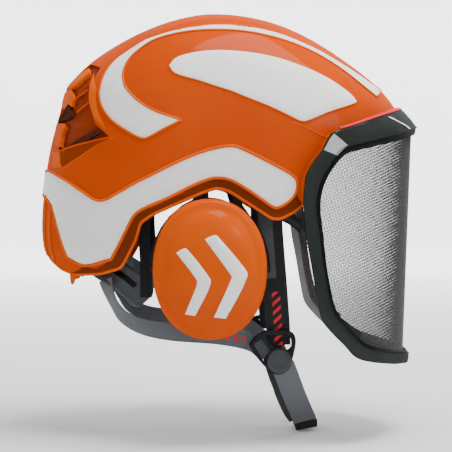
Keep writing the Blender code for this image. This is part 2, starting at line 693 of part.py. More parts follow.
def build_chin_strap(button_pivot):
    level = (1, 0, 0.05)
    front = [
        ((47, 88.1, 34), level), ((47.2, 88.1, 8), level), ((48.4, 87.2, -16), level),
        ((51.2, 82, -48), level), ((54, 74.4, -82), level), ((54.6, 73.4, -98), level),
    ]
    guard = [
        ((43.6, 89.9, 10), level), ((43.8, 89.85, 0), level), ((44.6, 89.1, -16), level),
        ((47.2, 84.4, -47), level),
    ]
    rear = [
        ((-66.5, 60.4, -64), (0.3, 1, -0.1)), ((-64.4, 62, -71), (0.5, 1, 0.3)),
        ((-58, 64, -80), (0.4, 0.7, 0.7)), ((-46, 66, -85), (0.1, 0.5, 1)),
        ((-24, 69, -88.6), (0.1, 0.2, 1)), ((10, 71.6, -91), (0.1, 0.1, 1)), ((40, 73.8, -98), (0.3, 0.05, 1)),
    ]
    lower = [
        ((57.6, 73.6, -113), (1, 0, 0.45)), ((62, 64, -124), (1, 0, 0.42)), ((67.4, 49, -138), (1, 0, 0.36)),
        ((73.4, 32, -152), (1, 0, 0.28)), ((78, 21, -162.6), (1, 0, 0.2)),
    ]
    cx, cz = 48.5, -102.5
    triangle = ((-16, 4), (-14, 9), (-5, 15.5), (15, 15), (18.5, 11), (18.5, 3), (13, -14), (6, -17.5), (-2, -14))
    slots = (
        ((-1.5, 12.6), (14.5, 12), (14.2, 9), (-1.7, 9.6)),
        ((-12.6, 4.6), (-9.8, 6.6), (-4.4, -8.5), (-6.4, -9.7)),
    )
    bx, bz = BUCKLE_CENTRE
    for name, side in SIDES:
        add_object(f"front_strap_{name}", webbing(front, side), "webbing_black")
        add_object(f"strap_guard_{name}", webbing(guard, side, 3, 10.6, 1.0), "plastic_grey")
        add_object(f"rear_strap_{name}", webbing(rear, side, 3, REAR_WEBBING_WIDTH), "webbing_grey")
        add_object(f"lower_strap_{name}", webbing(lower, side, 2), "webbing_grey")
        plate = [(cx + x, cz + z) for x, z in triangle]
        divider = add_object(f"strap_divider_{name}", slab(plate, side, (75.4, 78.4)), "plastic_grey")
        for slot in slots:
            cutter = [(cx + x, cz + z) for x, z in slot]
            combine(divider, slab(cutter, side, (70, 85)), "DIFFERENCE")
        cap = drum((cx + 6.4, side * (78.4 + GAP), cz - 7.2), (0, side, 0), 9.4, 2.2, 24)
        add_object(f"divider_cap_{name}", cap, "plastic_grey")

    body = [((bx - 8.5, bz - 4), (bx + 8.5, bz - 1), (bx + 8.5, bz + 5), (bx - 8.5, bz + 2))]
    case = add_object("buckle_body", prism(body[0], -19, 4), "black_satin")
    combine(case, box((bx - 3.6, -12, bz - 0.5), (bx + 3.6, -4, bz + 12)), "DIFFERENCE")
    add_object("buckle_tongue", prism(body[0], 4 + GAP, 19), "black_satin")
    button = box((bx - 3.2, -11.6, bz + 1.2), (bx + 3.2, -4.4, bz + 5))
    add_object("buckle_button", button, "red_rubber", button_pivot)


# ---------------------------------------------------------------- assembly

def build():
    for old in list(bpy.data.objects):
        bpy.data.objects.remove(old)
    visor_pivot = add_pivot("visor_axis", VISOR_PIVOT[0], 0, VISOR_PIVOT[1])
    knob_pivot = add_pivot("knob_axis", NAPE_X, 0, KNOB_CENTRE_Z)
    button_pivot = add_pivot("button_axis", BUCKLE_CENTRE[0], -8, BUCKLE_CENTRE[1])
    build_shells()
    build_vent_insert()
    build_liner()
    build_harness()
    build_visor(visor_pivot)
    build_visor_arms(visor_pivot)
    for name, side in SIDES:
        swing = add_pivot(f"muff_axis_{name}", CUP_CENTRE[0], side * MUFF_AXIS[0], MUFF_AXIS[1])
        tilt = add_pivot(f"cup_axis_{name}", CUP_CENTRE[0], side * TILT_AXIS_Y, CUP_CENTRE[1])
        build_muff(name, side, swing, tilt)
        build_carrier(name, side)
    build_nape(knob_pivot)
    build_chin_strap(button_pivot)


build()
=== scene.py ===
"""Looks of the forestry helmet: fine shells, panels, visor wires, pads, webbing, light and camera.

Lengths are in millimetres until a mesh is made, and the axes are the frame's own:
+X forward, +Y to the wearer's left, +Z up, origin at the centre of the head opening.
"""

import math

import bmesh
import bpy
from mathutils import Matrix, Vector, geometry
from mathutils.bvhtree import BVHTree


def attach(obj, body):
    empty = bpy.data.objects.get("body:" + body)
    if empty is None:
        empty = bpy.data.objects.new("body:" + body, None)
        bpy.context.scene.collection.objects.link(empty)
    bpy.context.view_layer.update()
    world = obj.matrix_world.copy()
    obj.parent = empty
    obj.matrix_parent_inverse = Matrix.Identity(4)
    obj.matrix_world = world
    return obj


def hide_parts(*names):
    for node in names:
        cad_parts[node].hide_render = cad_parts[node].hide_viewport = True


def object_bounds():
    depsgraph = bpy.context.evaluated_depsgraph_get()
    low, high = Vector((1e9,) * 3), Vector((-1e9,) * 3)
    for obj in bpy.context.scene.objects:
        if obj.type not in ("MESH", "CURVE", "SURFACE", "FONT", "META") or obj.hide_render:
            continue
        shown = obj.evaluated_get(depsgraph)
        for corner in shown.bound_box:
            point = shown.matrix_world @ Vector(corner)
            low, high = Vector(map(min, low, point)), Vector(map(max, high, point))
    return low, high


MM = 0.001
SIDES = (("right", -1), ("left", 1))

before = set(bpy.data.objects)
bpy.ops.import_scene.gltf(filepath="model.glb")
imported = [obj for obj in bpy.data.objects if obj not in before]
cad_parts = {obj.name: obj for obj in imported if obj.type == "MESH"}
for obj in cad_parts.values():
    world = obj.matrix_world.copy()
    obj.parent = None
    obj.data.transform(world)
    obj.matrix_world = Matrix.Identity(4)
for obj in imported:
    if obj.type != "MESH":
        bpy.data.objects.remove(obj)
cad_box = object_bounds()

# ---- camera

EYE = Vector((-4.8, -1300.0, 19.2))
AIM = Vector((16.0, 0.0, -9.6))
LENS = 129.5


def build_camera():
    data = bpy.data.cameras.new("camera")
    data.lens = LENS
    data.sensor_width = 36
    data.clip_end = 20
    camera = bpy.data.objects.new("camera", data)
    camera.location = EYE * MM
    camera.rotation_euler = (AIM - EYE).to_track_quat("-Z", "Y").to_euler()
    bpy.context.scene.collection.objects.link(camera)
    bpy.context.scene.camera = camera


build_camera()

# ---- shape of the shell, as in the CAD model

SHELL_ROWS = (
    (158, 3, 3, 0), (156.5, 29, -12, 26), (150, 57, -36, 48), (138, 84, -63, 65), (120, 112, -91, 79),
    (100, 137, -110, 88), (80, 152, -116, 94), (50, 160, -124, 98.5), (15, 162, -129, 100),
    (-20, 158, -130, 98), (-54, 150, -122, 93),
)
SHELL_ROUNDNESS = 2.2
SHELL_WALL = 3.0
RIM = (
    (200, 103), (150, 83.6), (92, 61), (89.7, 58), (85, 48), (78, 40), (72.4, 28.5), (71.2, 21),
    (71.4, 8), (64, 2.4), (55, -2), (49, -2), (38.6, 4.7), (28, 11.5), (17.5, 18.3), (10, 20.5),
    (7, 20.7), (-2.4, 17.8), (-21, 9.8), (-40, 1.3), (-49.5, -5), (-53, -17.5), (-61.7, -34.5),
    (-65, -39.4), (-80.6, -44), (-101, -45.5), (-112, -42), (-121, -35.5), (-127, -28), (-150, -10),
)
SHELL_SPLIT = (
    (72.4, 28.5), (68, 29.4), (62.8, 32.7), (47.7, 40.2), (29.6, 49.3), (18, 52.8), (-0.5, 49.4),
    (-19.4, 42), (-38.3, 32.4), (-51.5, 25.9), (-75.4, 12.6), (-82.3, 12.6), (-106.6, 27.9),
    (-121.4, 35.1), (-150, 33.7),
)
VENT_WINDOW = (
    (-113, 50), (-72, 58.6), (-84, 69), (-89, 84.6), (-88, 100), (-81, 113), (-100, 122), (-135, 100),
)
SPINE_HALF = 9.0

# ---- outlines, as seen from the camera on the mid-plane

HOOK_OUTER = (
    (139.5, 98.5), (129.9, 105.7), (111.5, 118), (93.2, 129), (74.8, 137.7), (56.4, 144.6), (31.9, 149.6),
    (10.1, 151), (-10.4, 149.2), (-30.7, 144.8), (-48.1, 139), (-61.4, 130.6), (-72.6, 122.4), (-79.8, 113.2),
    (-83.8, 103), (-84.8, 93.8), (-82.8, 85.7), (-75.7, 75.4), (-61.4, 65.3), (-52.2, 60.6), (-47.1, 60.6),
    (-34.9, 67.3), (-19.5, 75),
)
HOOK_INNER = (
    (-26.6, 77.5), (-41, 82.6), (-53.2, 89.8), (-62.4, 98.9), (-66, 108.1), (-65, 116.2), (-60.3, 124.4),
    (-51.2, 132.6), (-41, 138.7), (-25.7, 143.4), (-10.4, 146), (11.1, 146.9), (31.9, 145.6), (50.3, 142),
    (68.6, 136.6), (87, 128.6), (105.4, 117.6), (123.8, 103.5), (136, 93.6),
)
SWEEP = (
    (-29.8, 118.3), (-24.6, 124.4), (-15.4, 128), (-0.2, 130.6), (15.2, 131), (38.1, 128.9), (56.4, 125.2),
    (74.8, 119.1), (93.2, 111.1), (105.4, 103.8), (115.2, 96.5), (120.7, 90.3), (119.5, 88.5), (99.3, 81.8),
    (80.9, 74.4), (76, 74.1), (68.6, 77.5), (50.3, 86.1), (31.9, 93.4), (13.6, 100.2), (-4.8, 106.2),
    (-24.6, 112.2),
)
# A number alone is a height on the mid-plane at the very rear.
BAND_TOP = (
    33, (-125, 34.6), (-112.4, 27.4), (-99, 18.3), (-88, 11.3), (-80.8, 11.3), (-71.6, 16.2), (-55.3, 25.4),
    (-41, 32.5), (-20.6, 42.6), (-0.2, 50.6), (16.1, 54.2), (24.2, 53.9), (32.4, 50.6), (52, 40.7),
    (67.3, 32.4),
)
BAND_FRONT = ((72.2, 28), (73.1, 23.1), (71.6, 16.6), (67, 10.6), (59.4, 5.8), (54.5, 5.4))
BAND_BOTTOM = (
    (46.3, 10.6), (35.7, 17.9), (20.2, 27), (14.2, 28.6), (5, 28.6), (-10.3, 23), (-30.7, 12.7), (-51.2, 3.7),
    (-57.8, -1.8), (-63.4, -12.4), (-69.5, -24.6), (-75.7, -36.3), (-97, -41.2), (-110.6, -34.5),
    (-118.6, -10.3),
    (-124, 8), 17,
)
CHEVRONS = (
    ((-23.9, -31.2), (-17.4, -27.5), (-15, -28.3), (0.6, -47.9), (3.8, -55.3), (-8.8, -81.8), (-17, -80.6),
     (-7.2, -56.1), (-8.4, -51.2)),
    ((-1, -20.2), (7.1, -16.9), (9.6, -18.1), (31.2, -44), (33.2, -50.4), (16.1, -84.2), (6.3, -83),
     (20.6, -51.2), (19.8, -48.7)),
)
CHEVRON_DEPTH = 117.0

# ---- mesh tools


def make(name, verts, faces, finish, sharp=35, uv=None):
    """A mesh piece from millimetre points, shaded smooth up to an angle."""
    mesh = bpy.data.meshes.new(name)
    mesh.from_pydata([Vector(v) * MM for v in verts], [], faces)
    mesh.validate()
    bm = bmesh.new()
    bm.from_mesh(mesh)
    bmesh.ops.recalc_face_normals(bm, faces=bm.faces)
    bm.to_mesh(mesh)
    bm.free()
    if uv:
        layer = mesh.uv_layers.new(name="UVMap")
        for loop in mesh.loops:
            layer.data[loop.index].uv = uv[loop.vertex_index]
    mesh.shade_smooth()
    mesh.set_sharp_from_angle(angle=math.radians(sharp))
    mesh.materials.append(finish)
    made = bpy.data.objects.new(name, mesh)
    bpy.context.scene.collection.objects.link(made)
    return made


def grid_faces(rows, columns, wrap=False, offset=0):
    """Quads between rows of points. wrap joins each row's last point to its first."""
    last = columns if wrap else columns - 1
    return [
        (
            offset + i * columns + j,
            offset + i * columns + (j + 1) % columns,
            offset + (i + 1) * columns + (j + 1) % columns,
            offset + (i + 1) * columns + j,
        )
        for i in range(rows - 1)
        for j in range(last)
    ]


def loft(name, rings, finish, closed=False, sharp=35, uv=None):
    """Skins rings of equal length and caps the ends of an open row."""
    count = len(rings[0])
    verts = [p for ring in rings for p in ring]
    faces = grid_faces(len(rings), count, wrap=True)
    if closed:
        base = (len(rings) - 1) * count
        faces += [(base + j, base + (j + 1) % count, (j + 1) % count, j) for j in range(count)]
    else:
        faces.append(tuple(range(count)))
        faces.append(tuple(range(len(verts) - count, len(verts))))
    return make(name, verts, faces, finish, sharp, uv)


def slab(name, outline, low_y, high_y, finish):
    """A side-view outline pushed across from low_y to high_y."""
    return loft(name, [[(x, y, z) for x, z in outline] for y in (low_y, high_y)], finish)


def arc(centre, radius, degrees):
    """Side-view points of a circle at the given angles."""
    turns = [math.radians(a) for a in degrees]
    return [(centre[0] + radius * math.cos(t), centre[1] + radius * math.sin(t)) for t in turns]


def between(a, b, c, d, t):
    """A place on the smooth curve from b to c, at share t of the way. It takes numbers or vectors."""
    return 0.5 * (2 * b + (c - a) * t + (2 * a - 5 * b + 4 * c - d) * t**2 + (3 * b - a - 3 * c + d) * t**3)


def spline(points, steps):
    """A smooth run through the points, with steps parts between neighbours."""
    rows = [Vector(p) for p in points]
    rows = [2 * rows[0] - rows[1]] + rows + [2 * rows[-1] - rows[-2]]
    run = [between(*rows[i : i + 4], k / steps) for i in range(len(rows) - 3) for k in range(steps)]
    return run + [rows[-2]]


def smooth_outline(points, steps=5, corner=38):
    """A closed outline through 2D points, curved except where it turns by more than corner degrees."""
    rows = [Vector(p) for p in points]
    count = len(rows)
    run = []
    sharp = []
    for i in range(count):
        before = rows[i] - rows[i - 1]
        after = rows[(i + 1) % count] - rows[i]
        sharp.append(abs(before.angle_signed(after, 0)) > math.radians(corner))
    for i in range(count):
        j = (i + 1) % count
        chord = rows[j] - rows[i]
        leave = chord if sharp[i] else (rows[j] - rows[i - 1]).normalized() * chord.length
        arrive = chord if sharp[j] else (rows[(j + 1) % count] - rows[i]).normalized() * chord.length
        for k in range(steps):
            t = k / steps
            run.append(
                rows[i] * (2 * t**3 - 3 * t**2 + 1) + leave * (t**3 - 2 * t**2 + t)
                + rows[j] * (3 * t**2 - 2 * t**3) + arrive * (t**3 - t**2)
            )
    return run


def tube_rings(path, radius, sides=10, closed=False):
    """Rings round a path, carried along it without twist."""
    rings = []
    count = len(path)
    normal = None
    for i, centre in enumerate(path):
        if closed:
            ahead = path[(i + 1) % count] - path[i - 1]
        else:
            ahead = path[min(i + 1, count - 1)] - path[max(i - 1, 0)]
        ahead = ahead.normalized()
        if normal is None:
            normal = ahead.orthogonal().normalized()
        normal = (normal - ahead * normal.dot(ahead)).normalized()
        other = ahead.cross(normal)
        turns = [2 * math.pi * k / sides for k in range(sides)]
        rings.append([centre + normal * math.cos(t) * radius + other * math.sin(t) * radius for t in turns])
    return rings


def bake(piece):
    """Applies the piece's modifiers to its mesh."""
    graph = bpy.context.evaluated_depsgraph_get()
    mesh = bpy.data.meshes.new_from_object(piece.evaluated_get(graph))
    piece.modifiers.clear()
    old = piece.data
    piece.data = mesh
    bpy.data.meshes.remove(old)
    return piece


def carve(piece, outline, low_y, high_y, operation="DIFFERENCE"):
    """A Boolean with a side-view outline pushed across from low_y to high_y, applied at once."""
    tool = slab("carving_tool", outline, low_y, high_y, piece.data.materials[0])
    step = piece.modifiers.new("carve", "BOOLEAN")
    step.operation = operation
    step.object = tool
    step.solver = "EXACT"
    bake(piece)
    bpy.data.objects.remove(tool)
    return piece


def soften(piece, width, segments=2):
    """Rounds a piece's edges by width millimetres."""
    step = piece.modifiers.new("soften", "BEVEL")
    step.width = width * MM
    step.segments = segments
    step.limit_method = "ANGLE"
    step.angle_limit = math.radians(30)
    step.harden_normals = False
    bake(piece)
    piece.data.shade_smooth()
    piece.data.set_sharp_from_angle(angle=math.radians(50))
    return piece


def put(piece, body, slot, *nodes):
    """Rides a piece on a body and hides the CAD nodes that it stands for. Its slot is not used."""
    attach(piece, body)
    if nodes:
        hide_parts(*nodes)
    return piece


# ---- materials


class Finish:
    """A small helper that builds a node material round one Principled shader."""

    def __init__(self, name, colour, roughness, metallic=0.0, coat=0.0, sheen=0.0):
        self.material = bpy.data.materials.new(name)
        self.material.use_nodes = True
        self.tree = self.material.node_tree
        self.shader = self.tree.nodes["Principled BSDF"]
        self.shader.inputs["Base Color"].default_value = (*colour, 1)
        self.shader.inputs["Roughness"].default_value = roughness
        self.shader.inputs["Metallic"].default_value = metallic
        self.shader.inputs["Coat Weight"].default_value = coat
        self.shader.inputs["Coat Roughness"].default_value = 0.08
        self.shader.inputs["Coat IOR"].default_value = 2.4
        self.shader.inputs["Specular IOR Level"].default_value = 0.0
        self.shader.inputs["Sheen Weight"].default_value = sheen
        self.colour = colour
        self.where = None

    def node(self, kind, **values):
        made = self.tree.nodes.new(kind)
        for key, value in values.items():
            if key in made.inputs:
                made.inputs[key].default_value = value
            else:
                setattr(made, key, value)
        return made

    def link(self, source, target):
        self.tree.links.new(source, target)

    def place(self):
        """The point on the object, in metres."""
        if self.where is None:
            self.where = self.node("ShaderNodeTexCoord").outputs["Object"]
        return self.where

    def noise(self, scale, detail=3.0):
        made = self.node("ShaderNodeTexNoise", Scale=scale, Detail=detail)
        self.link(self.place(), made.inputs["Vector"])
        return made.outputs["Fac"]

    def cells(self, scale):
        made = self.node("ShaderNodeTexVoronoi", Scale=scale)
        self.link(self.place(), made.inputs["Vector"])
        return made.outputs["Distance"]

    def ramp(self, source, low, high, out_low, out_high):
        made = self.node("ShaderNodeMapRange")
        for key, value in zip(("From Min", "From Max", "To Min", "To Max"), (low, high, out_low, out_high)):
            made.inputs[key].default_value = value
        self.link(source, made.inputs["Value"])
        return made.outputs["Result"]

    def vary_colour(self, source, other, low=0.35, high=0.65):
        """Mixes the base colour towards another where source is high."""
        made = self.node("ShaderNodeMix", data_type="RGBA")
        made.inputs[6].default_value = (*self.colour, 1)
        made.inputs[7].default_value = (*other, 1)
        self.link(self.ramp(source, low, high, 0, 1), made.inputs[0])
        self.link(made.outputs[2], self.shader.inputs["Base Color"])
        return made

    def vary_roughness(self, source, low, high):
        self.link(self.ramp(source, 0.3, 0.7, low, high), self.shader.inputs["Roughness"])

    def bump(self, source, strength, distance):
        made = self.node("ShaderNodeBump", Strength=strength, Distance=distance)
        self.link(source, made.inputs["Height"])
        self.link(made.outputs["Normal"], self.shader.inputs["Normal"])


def gloss_shell(name, colour, deep):
    """Glossy moulded plastic with faint colour drift, uneven gloss and fine orange peel."""
    f = Finish(name, colour, 0.2, coat=0.03)
    f.vary_colour(f.noise(14, 2), deep, 0.4, 0.75)
    f.vary_roughness(f.noise(60, 4), 0.17, 0.27)
    f.bump(f.noise(900, 2), 0.035, 0.0004)
    return f.material


def panel_white(name):
    """Reflective film: near-white, with a fine cell pattern under a clear face."""
    f = Finish(name, (0.92, 0.91, 0.89), 0.3, coat=0.03)
    cells = f.cells(900)
    f.vary_colour(cells, (0.80, 0.79, 0.775), 0.2, 0.9)
    f.vary_roughness(f.noise(45, 3), 0.26, 0.38)
    f.bump(cells, 0.05, 0.0002)
    return f.material


def moulded(name, colour, roughness, grain=1400, depth=0.12, coat=0.05, lighter=None):
    """Moulded plastic with a spark-eroded grain."""
    f = Finish(name, colour, roughness, coat=coat)
    f.vary_colour(f.noise(22, 3), lighter or tuple(c * 1.35 + 0.004 for c in colour), 0.45, 0.8)
    f.vary_roughness(f.noise(85, 4), roughness * 0.85, roughness * 1.2)
    f.bump(f.noise(grain, 2), depth, 0.0003)
    return f.material


def woven(name, colour, thread, mark=None):
    """Webbing read from its own map: u across in millimetres, v along in millimetres."""
    f = Finish(name, colour, 0.82, sheen=0.3)
    split = f.node("ShaderNodeSeparateXYZ")
    f.link(f.node("ShaderNodeTexCoord").outputs["UV"], split.inputs[0])
    across, along = split.outputs[0], split.outputs[1]

    def maths(kind, a, b=None):
        made = f.node("ShaderNodeMath", operation=kind)
        for socket, value in zip(made.inputs, (a, b)):
            if value is None:
                continue
            if isinstance(value, (int, float)):
                socket.default_value = value
            else:
                f.link(value, socket)
        return made.outputs[0]

    warp = maths("SINE", maths("MULTIPLY", across, 2 * math.pi / 1.5))
    half_step = maths("MULTIPLY", maths("SIGN", warp), math.pi / 2)
    weft = maths("SINE", maths("ADD", maths("MULTIPLY", along, 2 * math.pi / 2.0), half_step))
    weave = maths("MULTIPLY", maths("ABSOLUTE", warp), maths("ADD", maths("MULTIPLY", weft, 0.35), 0.65))
    mix = f.vary_colour(weave, thread, 0.15, 0.95)
    if mark:
        # Slanted dashes down the middle, woven in a second colour.
        slant = maths("ADD", along, maths("MULTIPLY", across, 0.8))
        dash = maths("LESS_THAN", maths("FRACT", maths("DIVIDE", slant, 7.0)), 0.42)
        low, high, narrow = mark[1]
        inside = maths("MULTIPLY", maths("GREATER_THAN", along, low), maths("LESS_THAN", along, high))
        middle = maths("LESS_THAN", maths("ABSOLUTE", across), narrow)
        mask = maths("MULTIPLY", maths("MULTIPLY", dash, inside), middle)
        paint = f.node("ShaderNodeMix", data_type="RGBA")
        paint.inputs[7].default_value = (*mark[0], 1)
        f.link(mix.outputs[2], paint.inputs[6])
        f.link(mask, paint.inputs[0])
        f.link(paint.outputs[2], f.shader.inputs["Base Color"])
    f.bump(weave, 0.5, 0.0004)
    return f.material


def wire_metal(name):
    f = Finish(name, (0.075, 0.075, 0.078), 0.5, metallic=0.3)
    f.vary_colour(f.noise(700, 2), (0.12, 0.12, 0.123), 0.4, 0.7)
    return f.material


def brushed(name):
    f = Finish(name, (0.48, 0.48, 0.5), 0.3, metallic=1.0)
    stretch = f.node("ShaderNodeMapping")
    stretch.inputs["Scale"].default_value = (300, 300, 6000)
    f.link(f.place(), stretch.inputs["Vector"])
    grain = f.node("ShaderNodeTexNoise", Scale=1.0, Detail=2)
    f.link(stretch.outputs[0], grain.inputs["Vector"])
    f.vary_roughness(grain.outputs["Fac"], 0.24, 0.42)
    f.bump(grain.outputs["Fac"], 0.1, 0.0001)
    return f.material


def skin(name, colour):
    """Soft synthetic leather: fine pebble grain with a dull shine."""
    f = Finish(name, colour, 0.5, coat=0.03, sheen=0.15)
    cells = f.cells(650)
    f.vary_colour(cells, tuple(c * 1.6 + 0.004 for c in colour), 0.1, 0.9)
    f.vary_roughness(f.noise(50, 3), 0.42, 0.6)
    f.bump(cells, 0.35, 0.0004)
    return f.material


def foam(name, colour):
    """Open-cell foam or bead foam."""
    f = Finish(name, colour, 0.92, sheen=0.1)
    cells = f.cells(330)
    f.vary_colour(cells, tuple(c * 0.55 for c in colour), 0.3, 0.9)
    f.vary_roughness(f.noise(200, 3), 0.82, 0.97)
    f.bump(cells, 0.6, 0.0008)
    return f.material


ORANGE = (0.54, 0.056, 0.0002)
ORANGE_DEEP = (0.46, 0.045, 0.0002)
YARN_BLACK = (0.010, 0.011, 0.012), (0.035, 0.036, 0.04)
YARN_GREY = (0.075, 0.082, 0.092), (0.16, 0.17, 0.19)
LOOK = {
    "orange": gloss_shell("orange_shell", ORANGE, ORANGE_DEEP),
    "orange_cup": gloss_shell("orange_cup", (0.60, 0.075, 0.0003), (0.50, 0.056, 0.0003)),
    # A lighter copy of the shell orange: painted highlight on the raised beads, ribs, creases, plates and
    # crescent that catch the light.
    "orange_bead_painted_highlight": gloss_shell("orange_bead_painted_highlight", (0.70, 0.10, 0.0005), ORANGE),
    # A darker copy of the shell orange: painted shade for the lip where the shell's edge turns under.
    "orange_painted_shade": gloss_shell("orange_underside_painted_shade", (0.17, 0.024, 0.002), (0.10, 0.017, 0.002)),
    # A darker brownish copy of the shell orange: painted shade for the vent plate in the recess.
    "vent_back_painted_shade": gloss_shell("vent_back_painted_shade", (0.26, 0.030, 0.002), (0.15, 0.02, 0.002)),
    "white": panel_white("white_film"),
    "visor_black": moulded("visor_black", (0.019, 0.024, 0.0215), 0.3, 1500, 0.08, 0.05),
    # Dark brown: painted shadow inside the vent slots.
    "vent_slot_painted_shadow": moulded("vent_slot_painted_shadow", (0.075, 0.026, 0.014), 0.6, coat=0.0),
    # Brownish orange: painted shade of the recess, laid on the shell below the rear window.
    "recess_painted_shade": moulded("vent_recess_painted_shade", (0.24, 0.032, 0.0006), 0.5, coat=0.0),
    "hem": moulded("mesh_hem", (0.34, 0.34, 0.34), 0.7, 900, 0.4, coat=0.0, lighter=(0.46, 0.46, 0.46)),
    "web": moulded("dark_web", (0.016, 0.018, 0.018), 0.6, 900, 0.4),
    "visor_lip": moulded("visor_lip", (0.004, 0.005, 0.0045), 0.4),
    # Light grey: a painted reflection on the visor bar's bevelled corner.
    "corner_painted_reflection": moulded("corner_painted_reflection", (0.38, 0.41, 0.39), 0.3, 1500, 0.05, 0.4),
    "black": moulded("black_plastic", (0.011, 0.012, 0.014), 0.38),
    "charcoal": moulded("charcoal_plastic", (0.035, 0.039, 0.044), 0.34, coat=0.1),
    "nape_grey": moulded("nape_grey", (0.06, 0.066, 0.076), 0.3, coat=0.12, lighter=(0.08, 0.086, 0.1)),
    "wire": wire_metal("visor_wire"),
    "red": moulded("red_rubber", (0.62, 0.02, 0.035), 0.5),
    "foam": foam("black_foam", (0.035, 0.035, 0.038)),
    "liner": foam("liner_foam", (0.05, 0.05, 0.053)),
    "skin": skin("cushion_skin", (0.014, 0.014, 0.016)),
    "pad": skin("pad_cloth", (0.02, 0.021, 0.023)),
    "webbing_black": woven("webbing_black", *YARN_BLACK, ((0.60, 0.022, 0.035), (92, 136, 3.1))),
    "webbing_plain": woven("webbing_plain", *YARN_BLACK),
    "webbing_grey": woven("webbing_grey", *YARN_GREY),
    "webbing_marked": woven("webbing_marked", *YARN_GREY, ((0.55, 0.025, 0.04), (100, 128, 2.6))),
    "steel": brushed("steel"),
}

# ---- points on the shell


def shell_row(s):
    """The shell's row (z, front x, rear x, half width) at place s, counted from the crown."""
    top, first = SHELL_ROWS[0], SHELL_ROWS[1]
    mirrored = (first[0], 2 * top[1] - first[1], 2 * top[2] - first[2], -first[3])
    last = [2 * a - b for a, b in zip(SHELL_ROWS[-1], SHELL_ROWS[-2])]
    rows = [mirrored, *SHELL_ROWS, last]
    i = min(int(s), len(SHELL_ROWS) - 2)
    return [between(*values, s - i) for values in zip(*rows[i : i + 4])]


def shell_point(s, angle):
    """The point of the shell's outside at place s and a plan angle."""
    z, front, rear, half = shell_row(s)
    turn = math.radians(angle)
    power = 2 / SHELL_ROUNDNESS
    c, d = math.cos(turn), math.sin(turn)
    x = (front + rear) / 2 + (front - rear) / 2 * math.copysign(abs(c) ** power, c)
    return Vector((x, half * math.copysign(abs(d) ** power, d), z))


def on_shell(s, angle, height):
    """A point that stands height proud of the shell, or inside it where height is negative."""
    along = shell_point(s, angle + 1) - shell_point(s, angle - 1)
    down = shell_point(s + 0.02, angle) - shell_point(s - 0.02, angle)
    outward = along.cross(down).normalized()
    point = shell_point(s, angle)
    if outward.dot(point - Vector((15, 0, 20))) < 0:
        outward.negate()
    return point + outward * height


ROW_STEPS = 400
ROW_TABLE = [(k * 10 / ROW_STEPS, shell_row(k * 10 / ROW_STEPS)) for k in range(ROW_STEPS + 1)]


def place_at(z):
    """The place s at a height."""
    low, high = 0, ROW_STEPS
    while high - low > 1:
        middle = (low + high) // 2
        if ROW_TABLE[middle][1][0] > z:
            low = middle
        else:
            high = middle
    top, bottom = ROW_TABLE[low], ROW_TABLE[high]
    share = (top[1][0] - z) / max(top[1][0] - bottom[1][0], 1e-6)
    return top[0] + (bottom[0] - top[0]) * min(max(share, 0), 1)


def across_shell(point):
    """How far out a point is at its height: 1 on the shell. Returns that, and its two shares."""
    if point.z >= SHELL_ROWS[0][0] - 0.01:
        return 9, 0, 1
    _, front, rear, half = shell_row(place_at(point.z))
    x = (point.x - (front + rear) / 2) / ((front - rear) / 2)
    y = point.y / max(half, 0.1)
    return abs(x) ** SHELL_ROUNDNESS + abs(y) ** SHELL_ROUNDNESS, x, y


def seen(x, z):
    """The (s, angle) of the shell point that the camera sees at a mid-plane place, on the right side."""
    aim = Vector((x, 0, z))
    best = None
    before = None
    for k in range(131):
        share = 0.9 + k / 1300  # the last tenth of the way holds the near half of the shell
        value = across_shell(EYE + (aim - EYE) * share)[0]
        if best is None or value < best[0]:
            best = (value, share)
        if value < 1:
            if before is not None:
                low, high = before, share
                for _ in range(24):
                    middle = (low + high) / 2
                    if across_shell(EYE + (aim - EYE) * middle)[0] < 1:
                        high = middle
                    else:
                        low = middle
                best = (1, high)
            break
        before = share
    point = EYE + (aim - EYE) * best[1]
    _, a, b = across_shell(point)
    power = SHELL_ROUNDNESS / 2
    angle = math.degrees(math.atan2(-(abs(b) ** power), math.copysign(abs(a) ** power, a)))
    return place_at(point.z), angle


MAP_ANGLE = 1.7
MAP_ROW = 22.0


def mapped(outline):
    """Seen places, or bare heights at the very rear, as points of a flat map of the shell."""
    flat = []
    for spot in outline:
        if isinstance(spot, (int, float)):
            flat.append(Vector((-180 * MAP_ANGLE, place_at(spot) * MAP_ROW)))
        else:
            s, angle = seen(*spot)
            flat.append(Vector((angle * MAP_ANGLE, s * MAP_ROW)))
    return flat


def inside(point, outline):
    """Whether a flat point lies inside an outline."""
    odd = False
    for a, b in zip(outline, outline[1:] + outline[:1]):
        if (a[1] > point[1]) != (b[1] > point[1]):
            if point[0] < a[0] + (point[1] - a[1]) / (b[1] - a[1]) * (b[0] - a[0]):
                odd = not odd
    return odd


def nearest_edge(point, outline):
    """A flat point's distance from an outline."""
    best = 1e9
    for a, b in zip(outline, outline[1:] + outline[:1]):
        span = b - a
        t = min(max((point - a).dot(span) / max(span.length_squared, 1e-9), 0), 1)
        best = min(best, (a + span * t - point).length)
    return best


